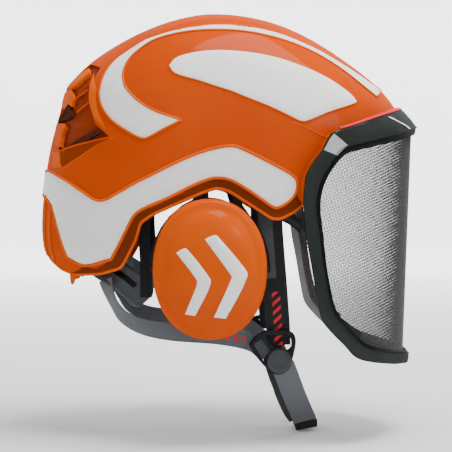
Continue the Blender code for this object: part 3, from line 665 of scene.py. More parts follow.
def film(name, outline, lift, rise, depth, cell, finish):
    """A thin closed patch inside a flat outline. lift(point, height) gives its place in space."""
    edges = [(i, (i + 1) % len(outline)) for i in range(len(outline))]
    points = list(outline)
    heights = [0.05] * len(points)
    area = sum(a[0] * b[1] - b[0] * a[1] for a, b in zip(outline, outline[1:] + outline[:1]))
    turn = 1 if area > 0 else -1
    bevel = 0.7
    for i, spot in enumerate(outline):
        ahead = (outline[(i + 1) % len(outline)] - outline[i - 1]).normalized()
        inner = spot + Vector((-ahead.y, ahead.x)) * turn * bevel
        if inside(inner, outline) and nearest_edge(inner, outline) > bevel * 0.8:
            points.append(inner)
            heights.append(rise)
    low = [min(p[k] for p in outline) for k in (0, 1)]
    high = [max(p[k] for p in outline) for k in (0, 1)]
    # A triangular grid fills the patch.
    y = low[1]
    odd = False
    while y < high[1]:
        x = low[0] + (cell / 2 if odd else 0)
        while x < high[0]:
            spot = Vector((x, y))
            if inside(spot, outline) and nearest_edge(spot, outline) > max(bevel * 1.6, cell * 0.35):
                points.append(spot)
                heights.append(rise)
            x += cell
        y += cell * 0.87
        odd = not odd
    flat, _, faces, origin, _, _ = geometry.delaunay_2d_cdt(points, edges, [], 1, 1e-4)
    count = len(flat)
    top = []
    for spot, sources in zip(flat, origin):
        top.append(lift(spot, heights[sources[0]] if sources else rise))
    bottom = [lift(spot, -depth) for spot in flat]
    faces = [tuple(f) for f in faces]
    sides = {}
    for f in faces:
        for a, b in zip(f, f[1:] + f[:1]):
            sides[(a, b)] = sides.get((a, b), 0) + 1
    whole = faces + [tuple(count + v for v in reversed(f)) for f in faces]
    for a, b in sides:
        if (b, a) not in sides:
            whole.append((b, a, count + a, count + b))
    return make(name, top + bottom, whole, finish, sharp=60)


def map_lift(spot, side, height):
    """The place in space of a flat map point, at a height over the shell."""
    angle = spot[0] / MAP_ANGLE
    return on_shell(spot[1] / MAP_ROW, angle if side < 0 else -angle, height)


def shell_film(name, outline, side, rise, finish, cell=5.0, depth=0.7):
    def lift(spot, height):
        return map_lift(spot, side, height)

    return film(name, outline, lift, rise, depth, cell, finish)


def shell_bead(name, outline, side, radius, finish, closed=True, height=0.2):
    """A half-sunk round bead along a flat outline on the shell."""
    path = [map_lift(spot, side, height) for spot in outline]
    return loft(name, tube_rings(path, radius, 8, closed), finish, closed, sharp=80)


# ---- shells


def dome(name, finish, depths, steps, segments=120, sharp=35, groove=None):
    """Two skins under the shell's surface, from the crown down, joined along their lower edge."""
    places = [0.25, 0.5, 0.75] + [1 + k / 5 for k in range(steps + 1)]
    verts = []
    faces = []
    for depth in depths:
        base = len(verts)
        verts.append((SHELL_ROWS[0][1], 0, SHELL_ROWS[0][0] - depth))
        for s in places:
            for k in range(segments):
                angle = 360 * k / segments
                lift = groove(s, angle) if groove and depth == depths[1] else 0
                verts.append(on_shell(s, angle, lift - depth))
        faces += [(base, base + 1 + k, base + 1 + (k + 1) % segments) for k in range(segments)]
        faces += grid_faces(len(places), segments, wrap=True, offset=base + 1)
    last = 1 + (len(places) - 1) * segments
    other = len(verts) // 2
    faces += [
        (last + k, last + (k + 1) % segments, other + last + (k + 1) % segments, other + last + k)
        for k in range(segments)
    ]
    return make(name, verts, faces, finish, sharp)


def build_shells():
    seam = 0.15
    depths = (0.0, SHELL_WALL)
    keep = list(RIM[:6]) + [(x, z + seam) for x, z in SHELL_SPLIT] + [(-200, 34), (-200, 220), (200, 220)]
    crown = dome("crown_skin", LOOK["orange"], depths, 45)
    carve(crown, keep, -130, 130, "INTERSECT")
    for side in (-1, 1):
        y0, y1 = sorted((side * SPINE_HALF, side * 110))
        carve(crown, VENT_WINDOW, y0, y1)
    keep = list(RIM[7:]) + [(-200, -10), (-200, 33.5)] + [(x, z - seam) for x, z in reversed(SHELL_SPLIT)]
    lower = dome("side_skin", LOOK["orange"], depths, 45)
    carve(lower, keep, -130, 130, "INTERSECT")
    for piece, node in ((crown, "crown_shell"), (lower, "side_shell")):
        piece.data.shade_smooth()
        piece.data.set_sharp_from_angle(angle=math.radians(35))
        put(piece, "helmet", "shell_orange", node)


def true_to_map(x, z):
    """A true side-view place as a flat map point on the right side."""
    s = place_at(z)
    _, front, rear, _ = shell_row(s)
    a = (x - (front + rear) / 2) / ((front - rear) / 2)
    a = min(max(a, -1), 1)
    angle = -math.degrees(math.acos(math.copysign(abs(a) ** (SHELL_ROUNDNESS / 2), a)))
    return Vector((angle * MAP_ANGLE, s * MAP_ROW))


def build_films():
    """The white panels, each with a raised bead round its edge."""
    panels = (
        ("hook", smooth_outline(mapped(HOOK_OUTER + HOOK_INNER)), 0.5, 0.9),
        ("swoosh", smooth_outline(mapped(SWEEP)), 0.45, 0.5),
        ("band", smooth_outline(mapped(BAND_TOP + BAND_FRONT + BAND_BOTTOM), 4), 0.5, 1.25),
    )
    for name, side in SIDES:
        for label, outline, rise, radius in panels:
            patch = shell_film(f"white_{label}_{name}", outline, side, rise, LOOK["white"])
            put(patch, "helmet", "shell_orange")
            # Each panel's bead is in the lighter orange, a painted highlight.
            edge = shell_bead(f"{label}_bead_{name}", outline, side, radius, LOOK["orange_bead_painted_highlight"])
            put(edge, "helmet", "shell_orange")


LIP_END = -104.0  # the lip runs out before the rear fin


def build_rim():
    """A rolled bead along the lower edge, and painted shade on the lip between it and the white band: a
    darker orange film where the shell turns under.
    """
    line = []
    for (x0, z0), (x1, z1) in zip(RIM[2:-2], RIM[3:-1]):
        parts = max(int(math.hypot(x1 - x0, z1 - z0) / 1.5), 1)
        line += [(x0 + (x1 - x0) * k / parts, z0 + (z1 - z0) * k / parts) for k in range(parts)]
    line.append(RIM[-2])
    for _ in range(2):
        middle = [
            ((a[0] + b[0] * 2 + c[0]) / 4, (a[1] + b[1] * 2 + c[1]) / 4)
            for a, b, c in zip(line, line[1:], line[2:])
        ]
        line = [line[0]] + middle + [line[-1]]
    rear_end = Vector((-180 * MAP_ANGLE, place_at(-26) * MAP_ROW))
    run = [true_to_map(x, z) for x, z in line] + [rear_end]
    first = next(i for i, (x, z) in enumerate(line) if z < 8.5)
    lip_low = [true_to_map(x, z + 0.9) for x, z in line[first:] if x > LIP_END]
    lip_high = mapped(BAND_FRONT[2:] + BAND_BOTTOM[:13])
    lip = lip_high + lip_low[::-1]
    for name, side in SIDES:
        # The lip film is painted shade: darker orange where the edge faces down.
        shade = shell_film(f"rim_lip_painted_shade_{name}", lip, side, 0.25, LOOK["orange_painted_shade"], 6.0)
        put(shade, "helmet", "shell_orange")
        # The rim bead is in the lighter orange, a painted highlight.
        bead = shell_bead(f"rim_bead_{name}", run, side, 1.5, LOOK["orange_bead_painted_highlight"], closed=False, height=-1.2)
        put(bead, "helmet", "shell_orange")


def build_rear_details():
    """Ribs, fins and louvres round the two rear windows, and the small hook under the rim."""
    shelves = (
        ((-113, 99), (-103, 106), (-91, 113.5), (-90, 109), (-101, 100), (-106, 97)),
        ((-111.4, 97), (-104.6, 97), (-102.6, 91), (-104.2, 83.4), (-106.6, 86), (-111, 82), (-114.6, 88)),
        ((-118, 72), (-109.6, 70.6), (-108.4, 67.6), (-111.4, 62), (-112.2, 52), (-118, 55)),
        ((-119, 49), (-111.6, 48), (-112.2, 37), (-119, 36.4)),
    )
    mouths = (
        ((-107, 86), (-103, 76), (-109, 73.4), (-117, 72), (-112, 79)),
        ((-84, 65), (-79, 63.6), (-94, 54.4), (-108, 46.6), (-108, 51.6)),
    )
    crescent = (
        (-89.5, 112), (-93, 100), (-93.4, 91), (-90.5, 79.5), (-84, 70.5), (-79, 67), (-83, 74.5),
        (-86.6, 83),
        (-87.8, 91), (-87.4, 100),
    )
    apron = ((-76.5, 61.6), (-96, 49), (-114.4, 37.4), (-118, 44), (-116, 50.4), (-96, 56.4))
    hook = (
        (-104.5, -44), (-96, -45), (-97, -48.5), (-100.5, -49.5), (-101.5, -53), (-103.6, -53), (-104.3, -49),
    )
    # A patch is a name, a flat outline, its height over the shell, look, cell, depth and slot.
    # The spine plates are in the lighter orange: a painted highlight on their lit facets.
    patches = [
        (f"spine_plate_{k}", smooth_outline([true_to_map(*p) for p in shape], 3, 20),
         0.5 - 0.3 * (k % 2), "orange_bead_painted_highlight", 4.0, 3.2, "shell_orange")
        for k, shape in enumerate(shelves)
    ]
    # The vent mouths are dark sunk patches: painted shadow inside the slots.
    patches += [
        (f"vent_mouth_{k}", smooth_outline([true_to_map(*p) for p in shape], 3, 20),
         -1.5, "vent_slot_painted_shadow", 4.0, 3.0, "vent_orange")
        for k, shape in enumerate(mouths)
    ]
    patches += [
        # The crescent is in the lighter orange: a painted highlight along the window's lit edge.
        ("crescent", smooth_outline(mapped(crescent), 4, 70), 0.45, "orange_bead_painted_highlight", 3.0, 0.7, "shell_orange"),
        # The apron is a brown film on the shell: painted shade that carries the recess down to the crease.
        ("vent_apron_painted_shade", smooth_outline(mapped(apron), 3, 20), 0.15, "recess_painted_shade", 4.0, 0.7, "shell_orange"),
    ]
    louvres = (((-72.5, 58.5), (-112, 49.5)), ((-91, 96), (-101, 90)), ((-90, 86), (-100, 79)))
    for name, side in SIDES:
        for label, flat, rise, look, cell, depth, slot in patches:
            patch = shell_film(f"{label}_{name}", flat, side, rise, LOOK[look], cell, depth)
            put(patch, "helmet", slot)
        for k, (a, b) in enumerate(louvres):
            start, stop = true_to_map(*a), true_to_map(*b)
            run = [start + (stop - start) * j / 12 for j in range(13)]
            height = -1.4 if k else 0.0
            rib = shell_bead(f"vent_rib_{k}_{name}", run, side, 0.9, LOOK["orange"], False, height)
            put(rib, "helmet", "vent_orange")
        for k, (angle, low, high) in enumerate(((165, 8.0, 9.35), (158, 8.2, 9.5))):
            run = [Vector((-angle * MAP_ANGLE, (low + (high - low) * j / 14) * MAP_ROW)) for j in range(15)]
            # The rear ribs are in the lighter orange, a painted highlight.
            rib = shell_bead(f"rear_rib_{k}_{name}", run, side, 1.3, LOOK["orange_bead_painted_highlight"], False, 0.1)
            put(rib, "helmet", "shell_orange")
        # The small hook is in the lighter orange, a painted highlight.
        tab = slab(f"rim_hook_{name}", hook, side * 50, side * 56, LOOK["orange_bead_painted_highlight"])
        put(soften(tab, 0.8), "helmet", "shell_orange")


def build_creases():
    """Fine raised lines where the shell's faces meet."""
    front = ((69, 73.4), (76, 70.9), (86, 66), (96, 61.2), (103, 58.4))
    rear = ((-73.6, 61), (-84, 56.5), (-98, 47.5), (-113, 36.6))
    for name, side in SIDES:
        for label, line in (("front", front), ("rear", rear)):
            run = spline(mapped(line), 6)
            # The creases are in the lighter orange, a painted highlight along the edge.
            crease = shell_bead(f"crease_{label}_{name}", run, side, 0.55, LOOK["orange_bead_painted_highlight"], False, -0.1)
            put(crease, "helmet", "shell_orange")


def build_vent_insert():
    """The curved plate behind the windows, with its louvres pressed in."""
    angles = [117 + 126 * k / 60 for k in range(61)]
    places = [3.7 + 3.3 * k / 40 for k in range(41)]

    def relief(a, s):
        return 0.9 * math.sin(s * 11 + abs(a - 180) * 0.09) ** 6

    verts = []
    for depth in (1.7, SHELL_WALL + 2.6):
        for s in places:
            for a in angles:
                lift = relief(a, s) if depth < 3 and 12 < abs(a - 180) < 58 else 0
                verts.append(on_shell(s, a, lift - depth - (1.5 if depth < 3 else 0)))
    rows, columns = len(places), len(angles)
    faces = grid_faces(rows, columns) + grid_faces(rows, columns, offset=rows * columns)
    other = rows * columns
    for j in range(columns - 1):
        for i in (0, rows - 1):
            base = i * columns + j
            faces.append((base, base + 1, other + base + 1, other + base))
    for i in range(rows - 1):
        for j in (0, columns - 1):
            base = i * columns + j
            faces.append((base, base + columns, other + base + columns, other + base))
    # The plate's darker brownish orange is painted shade for the recess behind the windows.
    put(make("vent_plate", verts, faces, LOOK["vent_back_painted_shade"]), "helmet", "vent_orange", "vent_insert")


def build_liner():
    """Bead foam with moulded air channels on its inside."""

    def channel(s, angle):
        return 3.0 * max(0, math.cos(math.radians(angle * 8))) ** 4 if 1.4 < s < 5.8 else 0

    liner = dome("liner_foam", LOOK["liner"], (7.3, 15.0), 26, 96, 50, channel)
    put(liner, "helmet", "foam", "impact_liner")


# ---- visor

VISOR_PIVOT = (22.0, 36.0)
VISOR_CENTRE_X = 74.0
VISOR_HALF_WIDTH = 101.5
VISOR_REACH = 90.6
VISOR_LEAN = 0.0373
VISOR_BREAK_Z = 68.0
VISOR_BROW_LEAN = 0.79
VISOR_BROW = ((0, 82.6, 63.2), (14, 82.0, 62.2), (28, 80.4, 59.7), (42, 77.0, 55.9), (56, 72.3, 51.5))
VISOR_FOOT = ((36, -114.0, -103.4), (24, -115.4, -105.0), (12, -117.2, -106.4), (0, -118.0, -107.0))
VISOR_SIDE = (
    (105, 66, 108, 47.8), (92.6, 61.2, 99.5, 42.8), (85.4, 49, 91.8, 33), (78, 38.6, 87.6, 25),
    (73, 28, 85.3, 18), (71.4, 8, 84, 6), (73.6, -15, 86, -13), (77.7, -38.5, 88.5, -36),
    (81.8, -62, 92.5, -59), (85.3, -77, 97, -72), (93, -87, 103.5, -80.5), (102, -96, 111, -89),
    (111, -105.5, 118.5, -95.5), (122.6, -110, 128, -99.6),
)
WIRE_PITCH = 1.1
WIRE_SIZE = 0.205
WIRE_BIAS = 12.0
WIRE_PART = 7
WIRE_TOP = 66.5


def visor_reach(z):
    """Half length of the visor's plan curve at a height."""
    if z <= VISOR_BREAK_Z:
        return VISOR_REACH + (z - VISOR_BREAK_Z) * VISOR_LEAN
    return VISOR_REACH - (z - VISOR_BREAK_Z) * VISOR_BROW_LEAN


def visor_angle(x, z):
    """Plan angle of a side-view place. Past 90 degrees the side runs straight back."""
    c = (x - VISOR_CENTRE_X) / visor_reach(z)
    if c < 0:
        return 90 + (VISOR_CENTRE_X - x)
    return math.degrees(math.acos(min(c, 1)))


def visor_point(angle, z, proud):
    """A point of the visor's curve, proud millimetres outside it. angle past 90 counts millimetres."""
    straight = max(abs(angle) - 90, 0)
    turn = math.radians(min(abs(angle), 90))
    reach = visor_reach(z)
    outward = Vector((math.cos(turn) / reach, math.sin(turn) / VISOR_HALF_WIDTH, 0)).normalized()
    point = Vector((reach * math.cos(turn), VISOR_HALF_WIDTH * math.sin(turn), z)) + outward * proud
    return Vector((VISOR_CENTRE_X + point.x - straight, math.copysign(point.y, angle), z))


def visor_half():
    """Fine stations from brow to foot on one side, as (outer angle, outer z, inner angle, inner z)."""
    rows = [(a, outer, a, inner) for a, outer, inner in VISOR_BROW]
    rows += [(visor_angle(a, b), b, visor_angle(c, d), d) for a, b, c, d in VISOR_SIDE]
    rows += [(a, outer, a, inner) for a, outer, inner in VISOR_FOOT]
    lead, trail = [(-row[0], row[1], -row[2], row[3]) for row in (rows[1], rows[-2])]
    whole = [lead, *rows, trail]
    run = [
        tuple(between(*values, k / 4) for values in zip(*whole[i : i + 4]))
        for i in range(len(whole) - 3)
        for k in range(4)
    ]
    return run + [rows[-1]]


def bar_point(side, station, t, proud, up=0.0):
    """A point at a share t from the visor bar's outer edge to its inner edge, moved up where asked."""
    outer_angle, outer_z, inner_angle, inner_z = station
    angle = max(outer_angle + (inner_angle - outer_angle) * t, 0.001)
    return visor_point(side * angle, outer_z + (inner_z - outer_z) * t + up, proud)


def visor_loop(name, section, finish, half):
    """A closed hoop of (share from outer to inner edge, height proud) sections."""
    rings = []
    for side, stations in ((-1, half), (1, half[-2:0:-1])):
        rings += [[bar_point(side, station, t, proud) for t, proud in section] for station in stations]
    return loft(name, rings, finish, closed=True, sharp=30)


def build_visor_frame():
    """The bar with its lip and crease, the hem and dark web of the mesh, and the red brow seal."""
    half = visor_half()
    bar = ((0, 0), (0, 2.2), (0.05, 3.1), (0.4, 3.8), (0.68, 3.6), (0.75, 2.8), (0.75, 0))
    lip = ((0.73, 0.1), (0.73, 2.2), (0.84, 2.4), (0.96, 1.8), (1.0, 1.1), (1.0, 0.1))
    ridge = ((0.66, 3.2), (0.68, 4.0), (0.71, 4.0), (0.735, 3.0), (0.7, 2.6))
    reflection_section = ((0.04, 3.0), (0.04, 3.6), (0.4, 4.1), (0.70, 3.9), (0.70, 2.4))
    hem = ((0.05, -0.2), (0.05, -0.85), (0.93, -0.85), (0.93, -0.2))
    web = ((0.3, 0, 0.1), (0.3, 0, -0.5), (0.95, 7.0, -0.5), (0.95, 7.0, 0.1))
    highlight_slash = ((-0.9, 3.2), (-0.9, 4.15), (0.9, 4.15), (0.9, 3.2))
    # The stations that each part covers, counted from the middle of the brow.
    reflection_run, hem_run, web_run, seal_run = range(24, 29), slice(25, 68), slice(44, 68), slice(23)
    put(visor_loop("visor_bar", bar, LOOK["visor_black"], half), "visor", "visor_black", "visor_frame")
    put(visor_loop("visor_lip", lip, LOOK["visor_lip"], half), "visor", "visor_black")
    put(visor_loop("visor_crease", ridge, LOOK["visor_black"], half), "visor", "visor_black")
    for name, side in SIDES:
        # A light grey patch on the bar's corner: a painted reflection of the lights.
        places = [half[k][:2] + half[k - 4][2:] for k in reflection_run]
        rings = [[bar_point(side, place, t, proud) for t, proud in reflection_section] for place in places]
        put(loft(f"corner_reflection_patch_{name}", rings, LOOK["corner_painted_reflection"], sharp=40), "visor", "visor_black")
        rings = [[bar_point(side, place, t, proud) for t, proud in hem] for place in half[hem_run]]
        put(loft(f"mesh_hem_{name}", rings, LOOK["hem"]), "visor", "wire_mesh")
        rings = []
        for place in half[web_run]:
            lift = min(max((-78 - place[1]) / 22, 0), 1)
            rings.append([bar_point(side, place, t, proud, lift * up) for t, up, proud in web])
        put(loft(f"dark_web_{name}", rings, LOOK["web"]), "visor", "visor_black")
        # A thin white strip along the brow: a painted highlight where the brow's fold catches the light.
        rings = []
        for k in range(9):
            t = 0.08 + 0.60 * k / 8
            outer_z, inner_z = 76.2 + 0.5 * k, 55.1 + 0.55 * k
            angle, z = 44.5 - 15.5 * k / 8, outer_z + (inner_z - outer_z) * t
            rings.append([visor_point(side * (angle + turn), z, proud) for turn, proud in highlight_slash])
        put(loft(f"brow_painted_highlight_{name}", rings, LOOK["white"]), "visor", "visor_black")

    seal = ((0.2, 0.2), (2.9, 0.2), (3.1, 0.9), (2.4, 1.7), (1.2, 1.9), (0.4, 1.4))
    top = [(row[0], row[1]) for row in half[seal_run]]
    brow = [(-a, z) for a, z in top[::-1]] + top[1:]
    rings = [[visor_point(angle or 0.001, z + up, proud) for proud, up in seal] for angle, z in brow]
    put(loft("seal_strip", rings, LOOK["red"], sharp=60), "visor", "red_seal", "brow_seal")


def build_visor_arms():
    """A flat arm from the hub to the shell's front corner, and a round link out to the side bar."""
    outline = arc(VISOR_PIVOT, 7.5, range(20, 311, 10)) + [(62.5, -6), (70, -10), (73, -5), (66.5, 0.8)]
    hole = arc(VISOR_PIVOT, 5.4, range(0, 360, 10))
    bends = (
        (60, 83, 0.5), (66, 83, -4), (72.5, 83, -9), (77.5, 85.5, -12.5), (80, 92, -14.6),
        (80.6, 100.4, -15.4),
    )
    for name, side in SIDES:
        arm = slab(f"swing_arm_{name}", outline, side * 81, side * 84.5, LOOK["visor_black"])
        carve(arm, hole, *sorted((side * 75, side * 95)))
        put(soften(arm, 0.7), "visor", "visor_black", f"visor_arm_{name}", f"visor_screw_{name}")
        path = spline([(x, side * y, z) for x, y, z in bends], 6)
        link = loft(f"arm_link_{name}", tube_rings(path, 2.0, 16), LOOK["visor_black"], sharp=60)
        put(link, "visor", "visor_black")


def build_visor_wires():
    """Woven wire: two crossing sets of fine rods laid slightly on the bias over the unrolled sheet."""
    lengths = [0.0]
    for angle in range(110):
        a, b = visor_point(angle, 0, -1.5), visor_point(angle + 1, 0, -1.5)
        lengths.append(lengths[-1] + math.hypot(b.x - a.x, b.y - a.y))

    def unrolled(angle):
        whole = min(int(abs(angle)), 108)
        part = (lengths[whole + 1] - lengths[whole]) * (abs(angle) - whole)
        return math.copysign(lengths[whole] + part, angle)

    def rolled(u):
        whole = max(k for k in range(110) if lengths[k] <= abs(u))
        part = (abs(u) - lengths[whole]) / (lengths[whole + 1] - lengths[whole])
        return math.copysign(whole + part, u)

    half = [(unrolled((r[0] + r[2]) / 2), min((r[1] + r[3]) / 2, WIRE_TOP)) for r in visor_half()]
    edge = half + [(-u, z) for u, z in reversed(half)]
    verts = []
    faces = []
    for turn, depth in ((WIRE_BIAS, -1.3), (WIRE_BIAS + 90, -1.65)):
        run = Vector((math.cos(math.radians(turn)), math.sin(math.radians(turn))))
        rise = Vector((-run.y, run.x))
        spots = [(run.dot(p), rise.dot(p)) for p in (Vector(e) for e in edge)]
        level = min(s[1] for s in spots) + WIRE_PITCH / 2
        while level < max(s[1] for s in spots):
            hits = []
            for (u0, v0), (u1, v1) in zip(spots, spots[1:] + spots[:1]):
                if (v0 > level) != (v1 > level):
                    hits.append(u0 + (u1 - u0) * (level - v0) / (v1 - v0))
            hits.sort()
            for start, stop in zip(hits[::2], hits[1::2]):
                parts = max(int((stop - start) / WIRE_PART), 1)
                path = []
                for k in range(parts + 1):
                    flat = run * (start + (stop - start) * k / parts) + rise * level
                    path.append(visor_point(rolled(flat.x) or 0.001, flat.y, depth))
                base = len(verts)
                for i, p in enumerate(path):
                    ahead = (path[min(i + 1, parts)] - path[max(i - 1, 0)]).normalized()
                    out = Vector((p.x - VISOR_CENTRE_X + 30, p.y, 0)).normalized()
                    other = ahead.cross(out).normalized()
                    verts.extend(
                        p + out * math.cos(t) * WIRE_SIZE + other * math.sin(t) * WIRE_SIZE
                        for t in (0, 2 * math.pi / 3, 4 * math.pi / 3)
                    )
                faces.extend(grid_faces(len(path), 3, wrap=True, offset=base))
                end = base + 3 * parts
                faces.append((base, base + 1, base + 2))
                faces.append((end, end + 1, end + 2))
            level += WIRE_PITCH
    put(make("visor_wires", verts, faces, LOOK["wire"], sharp=80), "visor", "wire_mesh", "visor_mesh")


# ---- ear muffs

CUP_CENTRE = (2.5, -39.4)
CUSHION_OUTER = (37.5, 45.5)
CUSHION_INNER = (22.0, 30.0)
CUSHION_FACES = (78.0, 90.0)
CUP_SQUARENESS = 2.12
CUP_PROFILE = (
    (90.3, 36, 44), (96.2, 36, 44), (96.5, 38, 47), (96.9, 41, 51), (98.2, 42, 52), (101.5, 42.2, 52.2),
    (104.2, 41.6, 51.6), (106.0, 40.4, 50.4), (107.0, 38.8, 48.8), (107.5, 37, 47), (107.9, 35.4, 45.4),
    (108.8, 33.8, 43.8), (110.4, 32.2, 42), (112.4, 30, 39), (114.2, 27, 35.4), (115.7, 23, 30.6),
    (116.8, 18, 24.6), (117.5, 12.6, 18), (117.9, 7, 10.4), (118, 2.4, 3.6),
)
CUP_INSIDE = ((113, 18, 25), (111, 27, 36), (106, 33, 42), (99, 33, 41), (90.3, 33, 41))


def oval(half_length, half_height, distance, side, segments=88):
    """An upright ring round the cup's centre, at a distance from the mid-plane."""
    power = 2 / CUP_SQUARENESS
    ring = []
    for k in range(segments):
        c = math.cos(2 * math.pi * k / segments)
        d = math.sin(2 * math.pi * k / segments)
        ring.append((
            CUP_CENTRE[0] + half_length * math.copysign(abs(c) ** power, c),
            side * distance,
            CUP_CENTRE[1] + half_height * math.copysign(abs(d) ** power, d),
        ))
    return ring


def cup_face(x, z):
    """Distance from the mid-plane of the cup's outside at a side-view place."""
    rows = CUP_PROFILE[9:]
    for (d0, a0, b0), (d1, a1, b1) in zip(rows, rows[1:]):
        for k in range(8):
            t = k / 8
            a, b = a0 + (a1 - a0) * t, b0 + (b1 - b0) * t
            along, up = abs((x - CUP_CENTRE[0]) / a), abs((z - CUP_CENTRE[1]) / b)
            out = along**CUP_SQUARENESS + up**CUP_SQUARENESS
            if out >= 1:
                return d0 + (d1 - d0) * t
    return rows[-1][0]


def build_cups():
    """Hollow cups with two raised chevrons outside and a foam disc inside."""
    wool = (
        (98.6, 27, 35), (98.8, 28.6, 36.6), (99.6, 29.6, 37.6), (104, 29.8, 38), (108, 26, 34),
        (109.5, 22, 30),
        (109.8, 20, 28),
    )
    share = (EYE.y + CHEVRON_DEPTH) / EYE.y
    flats = []
    for shape in CHEVRONS:
        moved = [Vector((EYE.x + (x - EYE.x) * share, EYE.z + (z - EYE.z) * share)) for x, z in shape]
        flats.append(smooth_outline(moved, 4, 50))
    for name, side in SIDES:
        outside = [oval(a, b, d, side) for d, a, b in CUP_PROFILE]
        inside = [oval(a, b, d, side) for d, a, b in CUP_INSIDE]
        shell = loft(f"ear_cup_{name}", inside + outside, LOOK["orange_cup"], sharp=50)
        put(shell, f"cup_{name}", "shell_orange", f"cup_shell_{name}")

        def lift(spot, height, side=side):
            return Vector((spot[0], side * (cup_face(*spot) + height), spot[1]))

        for k, flat in enumerate(flats):
            patch = film(f"chevron_{k}_{name}", flat, lift, 0.45, 0.8, 3.5, LOOK["white"])
            put(patch, f"cup_{name}", "shell_orange")
        pad = loft(f"cup_wool_{name}", [oval(a, b, d, side, 48) for d, a, b in wool], LOOK["foam"], sharp=60)
        put(pad, f"cup_{name}", "foam", f"cup_foam_{name}")


PLUMP_FRAMES = 16


def plump(piece, voxel, pressure, cap):
    """Fills a pad with air for a moment, as cloth, and keeps the rounded shape."""
    remesh = piece.modifiers.new("remesh", "REMESH")
    remesh.mode = "VOXEL"
    remesh.voxel_size = voxel * MM
    bake(piece)
    start = [v.co.copy() for v in piece.data.vertices]
    cloth = piece.modifiers.new("cloth", "CLOTH")
    cloth.settings.use_pressure = True
    cloth.settings.uniform_pressure_force = pressure
    cloth.settings.effector_weights.gravity = 0
    cloth.settings.tension_stiffness = 30
    cloth.settings.compression_stiffness = 30
    scene = bpy.context.scene
    for step in range(1, PLUMP_FRAMES + 1):
        scene.frame_set(step)
    graph = bpy.context.evaluated_depsgraph_get()
    puffed = [v.co.copy() for v in piece.evaluated_get(graph).data.vertices]
    piece.modifiers.clear()
    scene.frame_set(1)
    for vertex, old, new in zip(piece.data.vertices, start, puffed):
        move = new - old
        vertex.co = old + move * min(1, cap * MM / max(move.length, 1e-9))
    smooth = piece.modifiers.new("smooth", "SUBSURF")
    smooth.levels = smooth.render_levels = 1
    bake(piece)
    piece.data.shade_smooth()
    return piece


def mirror_copy(piece, name):
    """A copy on the other side of the mid-plane."""
    mesh = piece.data.copy()
    for vertex in mesh.vertices:
        vertex.co.y = -vertex.co.y
    mesh.flip_normals()
    other = bpy.data.objects.new(name, mesh)
    bpy.context.scene.collection.objects.link(other)
    return other


def build_cushions():
    """Air-filled ear pads with a seam round each edge."""
    near, far = CUSHION_FACES
    (ox, oz), (ix, iz) = CUSHION_OUTER, CUSHION_INNER
    section = (
        (ox - 0.6, oz - 0.6, far), (ox - 0.3, oz - 0.3, near + 6), (ox - 1, oz - 1, near + 3),
        (ox - 3, oz - 3, near + 1), (ox - 6, oz - 6, near + 0.4), (ix + 6, iz + 6, near + 0.4),
        (ix + 3, iz + 3, near + 1), (ix + 1, iz + 1, near + 3), (ix + 0.6, iz + 0.6, near + 6),
        (ix + 0.9, iz + 0.9, far),
    )
    rings = [oval(a, b, d, -1, 72) for a, b, d in section]
    around = [[ring[k] for ring in rings] for k in range(len(rings[0]))]
    right = plump(loft("ear_pad_right", around, LOOK["skin"], closed=True, sharp=60), 2.4, 3.0, 0.9)
    left = mirror_copy(right, "ear_pad_left")
    for piece, name in ((right, "right"), (left, "left")):
        put(piece, f"cup_{name}", "cushion_skin", f"ear_cushion_{name}")
    for name, side in SIDES:
        for label, a, b in (("outer", ox - 1.4, oz - 1.4), ("inner", ix + 1.4, iz + 1.4)):
            path = [Vector(p) for p in oval(a, b, near + 1.9, side, 96)]
            seam = loft(f"pad_seam_{label}_{name}", tube_rings(path, 0.75, 6, True), LOOK["black"], True, 80)
            put(seam, f"cup_{name}", "cushion_skin")


# ---- webbing and harness


WEB_COLUMNS = 6
WEB_EDGE = 0.55  # a strap's thickness at its edges, as a share of its thickness in the middle


def strap_axes(path, across, i):
    """The directions across a strap and out of its face, at point i of its path."""
    ahead = path[min(i + 1, len(path) - 1)] - path[max(i - 1, 0)]
    side = (across[i] - across[i].project(ahead)).normalized()
    return side, ahead.cross(side).normalized()


def ribbon(name, path, across, width, wall, finish):
    """A strap along a path with rounded edges, and a map in millimetres for its weave."""
    rings = []
    chart = []
    along = 0.0
    for i, centre in enumerate(path):
        side, up = strap_axes(path, across, i)
        if i:
            along += (centre - path[i - 1]).length
        ring = []
        for face in (1, -1):
            for k in range(WEB_COLUMNS + 1):
                share = (2 * k / WEB_COLUMNS - 1) * face
                thick = wall / 2 * (1 - (1 - WEB_EDGE) * abs(share) ** 4)
                ring.append(centre + side * share * width / 2 + up * face * thick)
                chart.append((share * width / 2, along))
        rings.append(ring)
    return loft(name, rings, finish, sharp=50, uv=chart)


def strap(name, rows, side, steps, width, wall, finish):
    """A ribbon through (place, direction across) rows of the left side, for either side."""
    flip = Vector((1, side, 1))
    path = spline([Vector(p) * flip for p, _ in rows], steps)
    across = spline([Vector(a) * flip for _, a in rows], steps)
    return ribbon(name, path, across, width, wall, finish)


BAND_CENTRE_X = 10.0
BAND_LENGTH_HALF = 98.0
BAND_WIDTH_HALF = 75.2
BAND_WALL = 2.2
BAND_HEIGHT = 28.0
BAND_SLOPE = 0.354
BAND_MID_Z = 40.4


def band_point(angle, inset, height):
    """A point of the headband. inset moves in from its outside, height up from its middle."""
    turn = math.radians(angle)
    x = BAND_CENTRE_X + (BAND_LENGTH_HALF + BAND_WALL - inset) * math.cos(turn)
    y = (BAND_WIDTH_HALF + BAND_WALL - inset) * math.sin(turn)
    return Vector((x, y, BAND_MID_Z + (x - BAND_CENTRE_X) * BAND_SLOPE + height))


